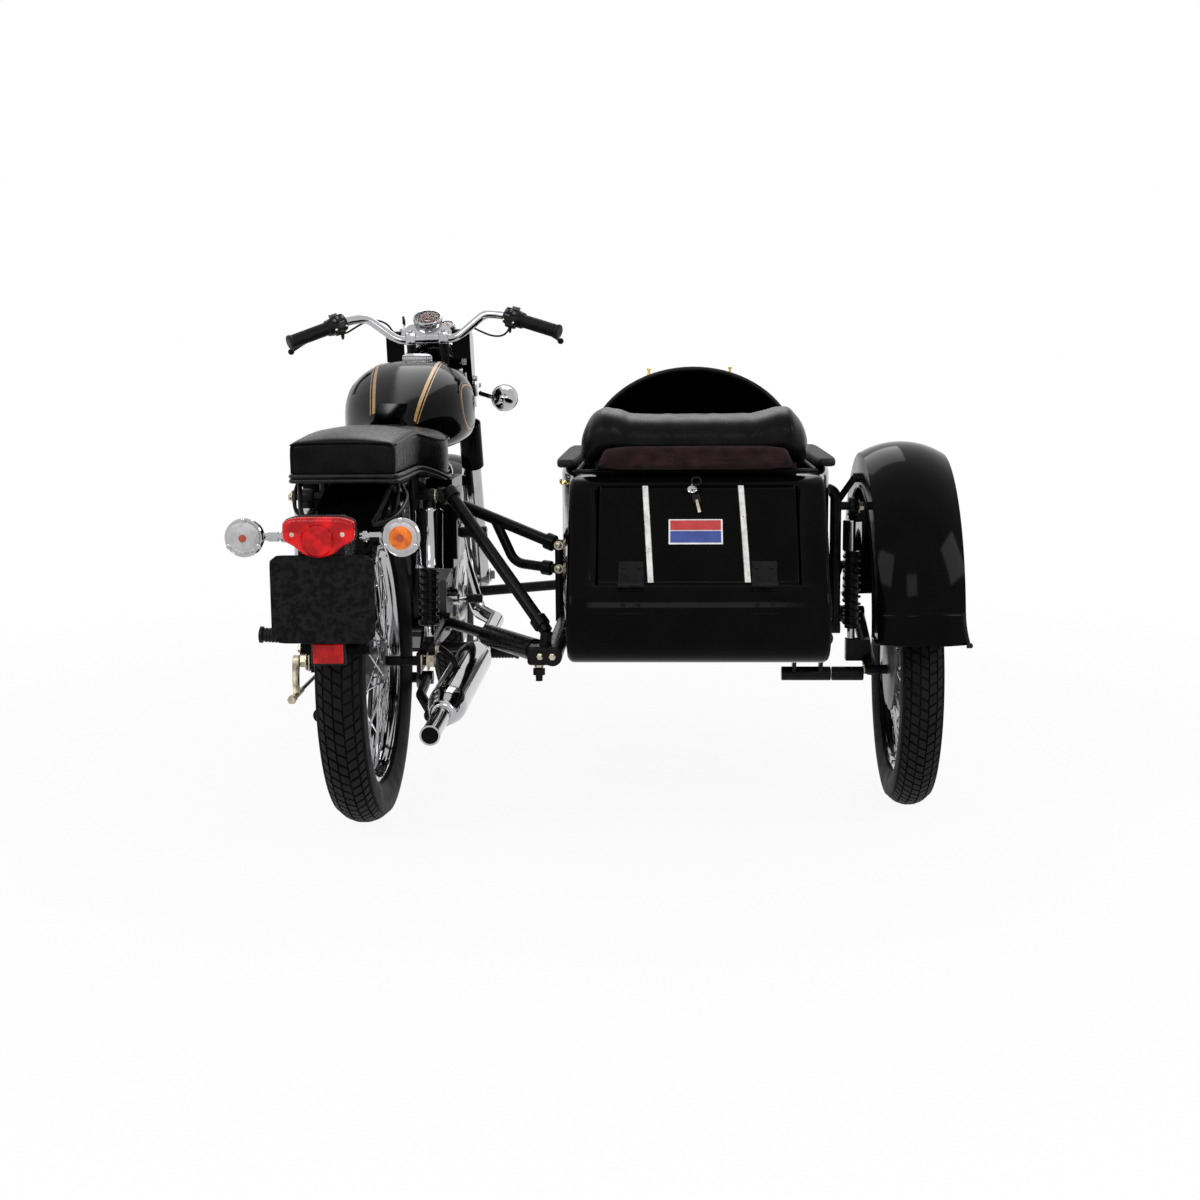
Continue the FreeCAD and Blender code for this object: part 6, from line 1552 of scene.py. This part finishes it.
class OUTFIT_OT_running(bpy.types.Operator):
    """Spring units, chain, axles, brakes and exhaust fittings"""
    bl_idname = "outfit.running"
    bl_label = "Running gear"

    def execute(self, context):
        """Dress the running gear."""
        for side in (-1, 1):
            self.damper(side, "left" if side < 0 else "right")
        self.chain()
        self.axles()
        self.exhaust()
        return {"FINISHED"}

    def damper(self, side, name):
        """A spring unit with its chrome cover, spring and eyes."""
        top, low = Vector((side * 126, 62, 664)), Vector((side * 126, 16, 352))
        along = (low - top).normalized()
        cover = Form()
        cover.lathe(top, along, [(26, 14), (26, 25), (29, 28.5), (34, 29), (36, 28), (140, 28), (142, 29),
                                 (149, 29), (150, 27.5), (150, 22)], 48)
        cover.lathe(top, along, [(266, 9), (268, 10), (292, 10), (294, 9)], 24)
        cover.piece(name + "_damper_cover", chrome(), replaces=("rear_dampers",))
        dark = Form()
        dark.lathe(top, along, [(152, 9), (152, 15), (262, 15), (264, 9)], 32)
        spring(dark, top + along * 152, top + along * 258, 18.2, 3.1, 7)
        dark.lathe(top, along, [(256, 12), (256, 22), (262, 22.5), (266, 20), (268, 12)], 32)
        for centre in (top, low):
            dark.lathe(centre - X * 12, X, [(0, 9), (0, 15), (3, 16), (21, 16), (24, 15), (24, 9)], 32)
        dark.rod(top + along * 10, top + along * 28, 13)
        dark.rod(low - along * 12, low - along * 26, 11)
        dark.piece(name + "_damper_spring", satin_black())
        nuts = Form()
        nuts.bolt(top + X * side * 31, X * side, 9)
        nuts.bolt(low + X * side * 13, X * side, 8)
        nuts.lathe(top + X * side * 12.2, X * side, [(0, 14), (2.4, 14)], 28)
        nuts.piece(name + "_damper_nuts", zinc())

    def chain(self):
        """Roller chain and the rear sprocket."""
        rear, front = Vector((-72, 0, 330)), Vector((-72, 468, 360))
        big, small, pitch = 73.0, 33.0, 15.875
        line = (front - rear).normalized()
        up = X.cross(line) * -1
        if up.z < 0:
            up = -up
        tilt = asin((big - small) / (front - rear).length)
        path = []
        for number in range(25):
            angle = pi / 2 - tilt + (pi + 2 * tilt) * number / 24
            path.append(rear + (line * cos(angle) + up * sin(angle)) * big)
        for number in range(17):
            angle = -pi / 2 - tilt + (pi + 2 * tilt) * number / 16
            path.append(front + (line * cos(angle) + up * sin(angle)) * small)
        path.append(path[0])
        total = sum((b - a).length for a, b in zip(path, path[1:]))
        count = int(round(total / pitch))
        marks, walked, number = [], 0.0, 0
        for link in range(count):
            goal = total * link / count
            while walked + (path[number + 1] - path[number]).length < goal:
                walked += (path[number + 1] - path[number]).length
                number += 1
            run = path[number + 1] - path[number]
            marks.append(path[number] + run.normalized() * (goal - walked))
        links = Form()
        for number, start in enumerate(marks):
            end = marks[(number + 1) % count]
            ahead = (end - start).normalized()
            across = X.cross(ahead)
            reach = 5.2 if number % 2 else 3.4
            outline = arc(0, 0, 4.2, pi / 2, 1.5 * pi, 6)
            outline += arc((end - start).length, 0, 4.2, -pi / 2, pi / 2, 6)
            for aside in (-reach - 1.2, reach):
                links.plate(outline, X * 1.2, start + X * aside, ahead, across)
            links.rod(start - X * 6.6, start + X * 6.6, 2.2, steps=8)
        links.piece("roller_chain", bare_steel(), replaces=("drive_chain",), sharp=30)
        disc = Form()
        teeth = [(63.0 if number % 4 in (0, 3) else 66.5, 2 * pi * number / 160) for number in range(160)]
        disc.plate([(r * cos(a), r * sin(a)) for r, a in teeth], X * 4, (-74, 0, 330), Y, Z)
        disc.lathe((-74.5, 0, 330), X, [(0, 18), (0, 42), (-2, 44), (-2, 50), (0, 52)], 48)
        disc.piece("rear_sprocket", bare_steel(), "rear_wheel", sharp=30)

    def axles(self):
        """Axle nuts, brake plates and their levers."""
        nuts = Form()
        nuts.bolt((124, 0, 330), X, 14, 14)
        nuts.bolt((-124, 0, 330), -X, 14, 14)
        nuts.rod((-118, -4, 322), (-118, 46, 322), 4)
        nuts.rod((118, -4, 338), (118, 46, 338), 4)
        for side in (-1, 1):
            nuts.slab((side * 115.5, -14, 330), (4, 34, 34), round_by=2)
            nuts.bolt((side * 122, 385, 350), X * side, 13)
        nuts.piece("rear_axle_nuts", zinc())
        front = Form()
        for side in (-1, 1):
            front.bolt((side * 112, 1370, 325), X * side, 13, 12)
            front.slab(on_fork(-6, 60, side * 88), (42, 46, 40), Matrix.Rotation(radians(-27.5), 3, "X"), 8)
        front.piece("fork_ends", cast(), "steering")
        plates = Form()
        plates.lathe((-45, 1370, 325), X, [(-4, 12), (-4, 30), (-1, 40), (-1, 76), (0, 80), (3, 80), (3, 12)],
                     56)
        plates.tube([(-52, 1340, 380), (-54, 1322, 410), (-54, 1316, 424)], 5, 10, 3)
        plates.piece("front_brake_plate", cast(), "steering")
        lever = Form()
        lever.tube([(-148, 0, 330), (-150, -4, 292), (-148, -7, 262)], [9, 7, 7], 14, 4)
        lever.rod((-154, 0, 330), (-141, 0, 330), 12)
        lever.tube([(-148, -52, 259), (-148, -20, 260), (-148, 40, 261)], 6.6, 12, 1)
        lever.rod((-148, -60, 259), (-148, -38, 259), 9, steps=6)
        lever.piece("rear_brake_lever", finish("worn_zinc", (0.42, 0.38, 0.28), rough=0.4, metal=0.9,
                                               mottle=(0.4, 60), grain=(0.2, 400), haze=0.15))

    def exhaust(self):
        """Clamps and the open end of the exhaust."""
        front, rear = Vector((194, 280, 296)), Vector((185, -232, 270))
        along = (rear - front).normalized()
        length = (rear - front).length
        rings = Form()
        rings.lathe(front, along, [(-30, 20), (-30, 25), (-28, 26.5), (-12, 26.5), (-10, 25), (-10, 20)], 40)
        rings.slab(front + along * -20 + Vector((0, 0, -29)), (12, 16, 14), round_by=2)
        rings.bolt(front + along * -20 + Vector((6, 0, -30)), X, 4)
        rings.lathe(front, along, [(length - 8, 18), (length - 8, 24), (length - 4, 26), (length + 6, 26),
                                   (length + 10, 23), (length + 12, 18)], 40)
        rings.lathe(front, along, [(length + 156, 18.2), (length + 157, 19.4), (length + 161, 19.4),
                                   (length + 161.5, 18), (length + 161, 16.4), (length + 156, 16.4)], 40,
                    loop=True)
        rings.lathe((52, 780, 664), Y, [(0, 20), (0, 30), (4, 31), (12, 31), (15, 28), (15, 20)], 12)
        rings.piece("exhaust_clamps", chrome())
        soot = Form()
        soot.lathe(front, along, [(length + 158, 15.9), (length + 24, 15.9), (length + 24, 0.1)], 36)
        soot.piece("tail_pipe_bore", finish("soot", (0.004, 0.004, 0.004), rough=0.9, mottle=(0.1, 50),
                                            specular=0.05))
        hanger = Form()
        hanger.tube([(186, -20, 318), (176, -14, 340), (150, 20, 352), (127, 60, 352)], 6, 12, 4)
        hanger.bolt((186, -20, 320), Z, 6)
        hanger.piece("silencer_hanger", satin_black())


class OUTFIT_OT_engine(bpy.types.Operator):
    """Screws, caps and tubes of the engine"""
    bl_idname = "outfit.engine"
    bl_label = "Engine details"

    def execute(self, context):
        """Add what is bolted to the engine."""
        screws = Form()
        left = ((433, 325), (433, 446), (472, 469), (585, 486), (698, 495), (772, 455), (803, 396),
                (770, 335), (700, 294), (560, 307), (490, 318))
        right = ((569, 340), (569, 462), (655, 485), (738, 492), (785, 445), (790, 400), (768, 342),
                 (700, 298), (607, 308))
        behind = ((434, 340), (434, 430), (536, 444), (536, 326))
        for x, spots in ((-124.2, left), (112.2, right), (108.4, behind)):
            for y, z in spots:
                screws.lathe((x, y, z), X * copysign(1, x),
                             [(0, 5.5), (3, 5.5), (4, 4.4), (4, 2), (3, 0.1)], 16)
        for x in (-56, 56):
            for y in (644, 756):
                screws.bolt((x, y, 708), Z, 7, 9)
        screws.piece("engine_screws", zinc())
        faces = Form()
        primary = [(442, 334), (442, 440), (480, 460), (696, 486), (765, 460), (794, 395), (764, 330),
                   (700, 303)]
        timing = [(578, 346), (578, 458), (736, 484), (774, 450), (782, 400), (764, 332), (702, 306),
                  (612, 316)]
        for side, reach, face in ((-1, 124.2, primary), (1, 112.2, timing)):
            pillow(faces, rounded(face, 3, 0.2), lambda u, v, w, s=side, r=reach: Vector((s * (r + w), u, v)),
                   5.0, 4.0, 3)
        faces.piece("engine_cover_faces", polished(), sharp=50)
        caps = Form()
        caps.lathe((-128.2, 600, 395), -X, [(0, 24), (2, 26), (4, 26), (5, 20), (6, 8), (6, 0.1)], 40)
        caps.lathe((116.2, 690, 400), X, [(0, 38), (2, 40), (3, 36), (3, 30), (5, 28), (5, 0.1)], 48)
        caps.lathe((-44, 560, 497), Z, [(0, 18), (6, 18), (7, 16), (9, 16), (10, 12), (10, 0.1)], 8)
        for forward in (730, 752):
            caps.tube([(82, forward + 6, 498), (80, forward, 560), (78, forward - 4, 634)], 8, 16, 2)
            caps.lathe((78, forward - 4, 630), Z, [(0, 11), (8, 11), (10, 8)], 20)
            caps.lathe((82, forward + 6, 497), Z, [(0, 12), (6, 12), (8, 8)], 20)
        caps.piece("engine_caps", chrome())
        cast_bits = Form()
        for aside in (-24, 24):
            cast_bits.slab((aside, 700, 713), (38, 104, 16), round_by=6)
            for forward in (664, 736):
                cast_bits.lathe((aside, forward, 719), Z, [(0, 11), (4, 11), (5, 8)], 8)
        cast_bits.lathe((30, 560, 612), Z, [(-24, 8), (-22, 20), (-18, 22), (2, 22), (6, 18)], 32)
        cast_bits.lathe((30, 566, 716), Z, [(-4, 22), (0, 23), (4, 23), (8, 14), (12, 6), (12, 0.1)], 24)
        cast_bits.lathe((30, 527, 668), -Y, [(0, 26), (8, 27), (14, 30), (15, 28), (10, 22)], 36)
        cast_bits.piece("engine_castings", cast())
        rubbers = Form()
        rubbers.lathe((140, 412, 552), X, [(0, 12), (2, 14), (20, 12.5), (44, 12.5), (62, 14), (66, 13),
                                           (67, 0.1)], 24)
        rubbers.lathe((128, 632, 368), X, [(0, 9), (2, 11), (38, 11), (41, 9.5), (42, 0.1)], 20)
        for side in (-1, 1):
            profile = [(0, 12)]
            profile += ribs(4, 7.6, 14, 13.2, 15.5, 6, 1)
            profile += [(112, 15), (116, 17), (121, 17), (122, 12)]
            rubbers.lathe((side * 140, 560, 250), X * side, profile, 24)
        profile = [(0, 12)]
        profile += ribs(3, 7.4, 7, 13.5, 15.6, 6, 1)
        profile += [(56, 15), (58, 18), (64, 18), (66, 12), (66, 0.1)]
        rubbers.lathe((-194, 150, 356), (-65, 0, 4), profile, 28)
        rubbers.piece("foot_rubbers", rubber())
        covers = Form()
        for side in (-1, 1):
            outline = rounded([(182, 514), (328, 514), (328, 668), (182, 668)], 3, 0.12)
            pillow(covers, outline, lambda u, v, w, s=side: Vector((s * (160 + w), u, v)), 5.0, 3.0, 3)
        covers.piece("tool_box_lids", paint(), sharp=50)
        catches = Form()
        for side in (-1, 1):
            catches.lathe((side * 164.5, 255, 592), X * side,
                          [(0, 13), (2, 13), (3, 10), (7, 9), (9, 7), (9, 0.1)], 28)
            catches.slab((side * 172, 255, 592), (4, 4, 16), round_by=1)
        catches.piece("tool_box_catches", chrome())
        return {"FINISHED"}


class OUTFIT_OT_chassis(bpy.types.Operator):
    """Fittings of the sidecar's chassis and the mudguards' stays"""
    bl_idname = "outfit.chassis"
    bl_label = "Chassis fittings"

    def execute(self, context):
        """Bolt the chassis together."""
        damper = Form()
        top = Vector((1010, 200, 628))
        damper.lathe(top, -Z, [(30, 12), (30, 18), (33, 20.5), (94, 20.5), (96, 19), (96, 12)], 36)
        damper.lathe(top, -Z, [(262, 7), (262, 9), (284, 9), (286, 7)], 24)
        damper.piece("sidecar_damper_cover", chrome(), replaces=("sidecar_damper",))
        coil = Form()
        spring(coil, top - Z * 100, top - Z * 258, 17, 3.2, 10)
        coil.lathe(top, -Z, [(92, 9), (92, 14.5), (262, 14.5), (264, 9)], 28)
        coil.lathe(top - X * 9, X, [(0, 9.3), (0, 18), (2, 19), (16, 19), (18, 18), (18, 9.3)], 32)
        coil.rod(top - Z * 16, top - Z * 20, 12)
        coil.piece("sidecar_damper_spring", satin_black())
        zincs = Form()
        zincs.bolt((1023, 200, 628), X, 10)
        zincs.bolt((362, -106, 345), -Z, 9, 8)
        zincs.lathe((362, -106, 338), -Z, [(0, 6), (26, 6), (28, 4.5), (28, 0.1)], 20)
        zincs.lathe((362, -106, 334), -Z, [(0, 11), (9, 11)], 6)
        for spot, axis in (((145, 62, 664), -X), ((366, -127, 362), -Y), ((392, -150.5, 365.7), -Y),
                           ((24, 404, 668), -Y), ((377, 289, 535), -Y), ((377, 289, 483), -Y),
                           ((118, 366, 350), -Y), ((4, 898, 326), -Z), ((1034, 147, 285), -X)):
            zincs.bolt(spot, axis, 7)
        zincs.piece("chassis_bolts", zinc())
        clamps = Form()
        for spot, along, radius in (((170, 59, 667), (-212, 168, 264), 17),
                                    ((364, -95, 425), (-212, 168, 264), 16),
                                    ((40, 414, 660), (350, -119, -131), 17),
                                    ((358, 305, 541), (350, -119, -131), 17),
                                    ((350, 307, 483.5), (98, -32, -10), 15),
                                    ((350, -58, 363), (248, -466, 14), 17)):
            clamps.lathe(spot, along, [(-11, radius - 3), (-11, radius), (-9, radius + 1.5),
                                       (9, radius + 1.5), (11, radius), (11, radius - 3)], 28)
        start, end = Vector((232, 164, 356)), Vector((352, -62, 363))
        clamps.lathe(start, end - start, [(0, 12), (0, 21), (2, 23), ((end - start).length - 2, 23),
                                          ((end - start).length, 21), ((end - start).length, 12)], 32)
        clamps.slab((367, -106, 362), (54, 46, 38), round_by=7)
        clamps.lathe((392, -150, 365.7), -Y, [(0, 19.2), (3, 19.2), (4, 17), (4, 0.1)], 32)
        clamps.lathe((940, 66, 365.7), -Y, [(0, 19.2), (3, 19.2), (4, 17), (4, 0.1)], 32)
        clamps.lathe((1046, 400, 365.7), X, [(-20, 16), (-18, 18), (10, 18), (13, 16), (13, 0.1)], 32)
        clamps.piece("chassis_clamps", satin_black())
        beam = Form()
        beam.rod((858, 147, 276), (962, 147, 276), 15)
        beam.rod((964, 147, 276), (1031, 147, 276), 15)
        for reach in (880, 936):
            beam.plate([(80, 366), (98, 366), (157, 284), (157, 276), (137, 276)], X * 8, (reach, 0, 0), Y, Z)
        beam.piece("sidecar_axle_beam", satin_black())
        hub = Form()
        hub.lathe((1160, 147, 285), X, [(0, 12), (0, 21), (8, 21), (14, 18), (20, 12), (22, 0.1)], 32)
        hub.piece("sidecar_hub_cap", chrome(), "sidecar_wheel")
        stays = Form()
        for side in (-1, 1):
            stays.tube([(side * 88, -182, 724), (side * 86, -196, 700),
                        (side * 76, -240, 664), (side * 63, -262, 640)], 4.5, 10, 5)
            stays.tube([(side * 96, -150, 716), (side * 100, -176, 690),
                        (side * 98, -186, 660), (side * 84, -178, 646),
                        (side * 70, -160, 650)], 4.0, 10, 5)
        stays.piece("mudguard_stays", satin_black())
        lift = Form()
        lift.tube([(98, -120, 700), (112, -150, 676), (104, -240, 650), (70, -286, 640)], 4.2, 12, 6)
        lift.piece("lifting_handle", satin_black())
        return {"FINISHED"}


CLASSES = [OutfitSizes, OutfitColours, OUTFIT_OT_stage, OUTFIT_OT_tyres, OUTFIT_OT_wheels, OUTFIT_OT_tail,
           OUTFIT_OT_seat, OUTFIT_OT_tank, OUTFIT_OT_tub, OUTFIT_OT_upholstery, OUTFIT_OT_fenders,
           OUTFIT_OT_controls, OUTFIT_OT_nacelle, OUTFIT_OT_running, OUTFIT_OT_engine, OUTFIT_OT_chassis]
STEPS = ["stage", "tyres", "wheels", "tail", "seat", "tank", "tub", "upholstery", "fenders", "controls",
         "nacelle", "running", "engine", "chassis"]


class OUTFIT_PT_panel(bpy.types.Panel):
    """The outfit's sizes, colours and pieces"""
    bl_idname = "OUTFIT_PT_panel"
    bl_label = "Outfit"
    bl_space_type = "VIEW_3D"
    bl_region_type = "UI"
    bl_category = "Outfit"

    def draw(self, context):
        """List the sizes, colours and operators."""
        for group in (context.scene.outfit_sizes, context.scene.outfit_colours):
            for key in group.__annotations__:
                self.layout.prop(group, key)
        for step in STEPS:
            self.layout.operator("outfit." + step)


CLASSES.append(OUTFIT_PT_panel)


def register():
    """Register the classes and their settings."""
    for item in CLASSES:
        bpy.utils.register_class(item)
    bpy.types.Scene.outfit_sizes = PointerProperty(type=OutfitSizes)
    bpy.types.Scene.outfit_colours = PointerProperty(type=OutfitColours)


def unregister():
    """Undo register."""
    del bpy.types.Scene.outfit_sizes
    del bpy.types.Scene.outfit_colours
    for item in reversed(CLASSES):
        bpy.utils.unregister_class(item)


NODE_FINISHES = {"backbone_tube": satin_black, "down_tube": satin_black, "seat_tube": satin_black,
                 "seat_rails": satin_black, "swing_arm": satin_black, "rear_dampers": chrome,
                 "crankcase": cast, "engine_covers": cast, "cylinder_barrel": cast, "cylinder_head": cast,
                 "carburettor": cast, "exhaust_pipe": chrome, "silencer": chrome, "fuel_tank": paint,
                 "filler_cap": chrome, "rider_seat": vinyl, "rear_mudguard": paint,
                 "plate_bracket": satin_black, "number_plate": satin_black, "tail_lamp": red_lens,
                 "rear_indicators": chrome, "rear_reflector": red_lens, "drive_chain": bare_steel,
                 "footrests": rubber, "tool_boxes": paint, "front_fork": chrome, "fork_shrouds": paint,
                 "lamp_casing": paint, "headlamp": chrome, "instruments": chrome, "handlebar": chrome,
                 "grips": rubber, "hand_controls": black_plastic, "foot_controls": chrome,
                 "front_mudguard": paint, "front_indicators": chrome, "centre_stand": satin_black,
                 "sidecar_nose": paint, "sidecar_tub": paint, "boot_lid": paint, "sidecar_cushion": maroon,
                 "sidecar_backrest": vinyl, "deck_pads": grey_cloth, "sidecar_mudguard": paint,
                 "sidecar_frame": satin_black, "sidecar_swing_arm": satin_black, "sidecar_damper": chrome,
                 "sidecar_struts": satin_black, "sidecar_beams": satin_black}


def main():
    """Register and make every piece."""
    register()
    for node, material in NODE_FINISHES.items():
        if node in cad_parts:
            dress(node, material())
    for step in STEPS:
        getattr(bpy.ops.outfit, step)()


if __name__ == "__main__":
    main()
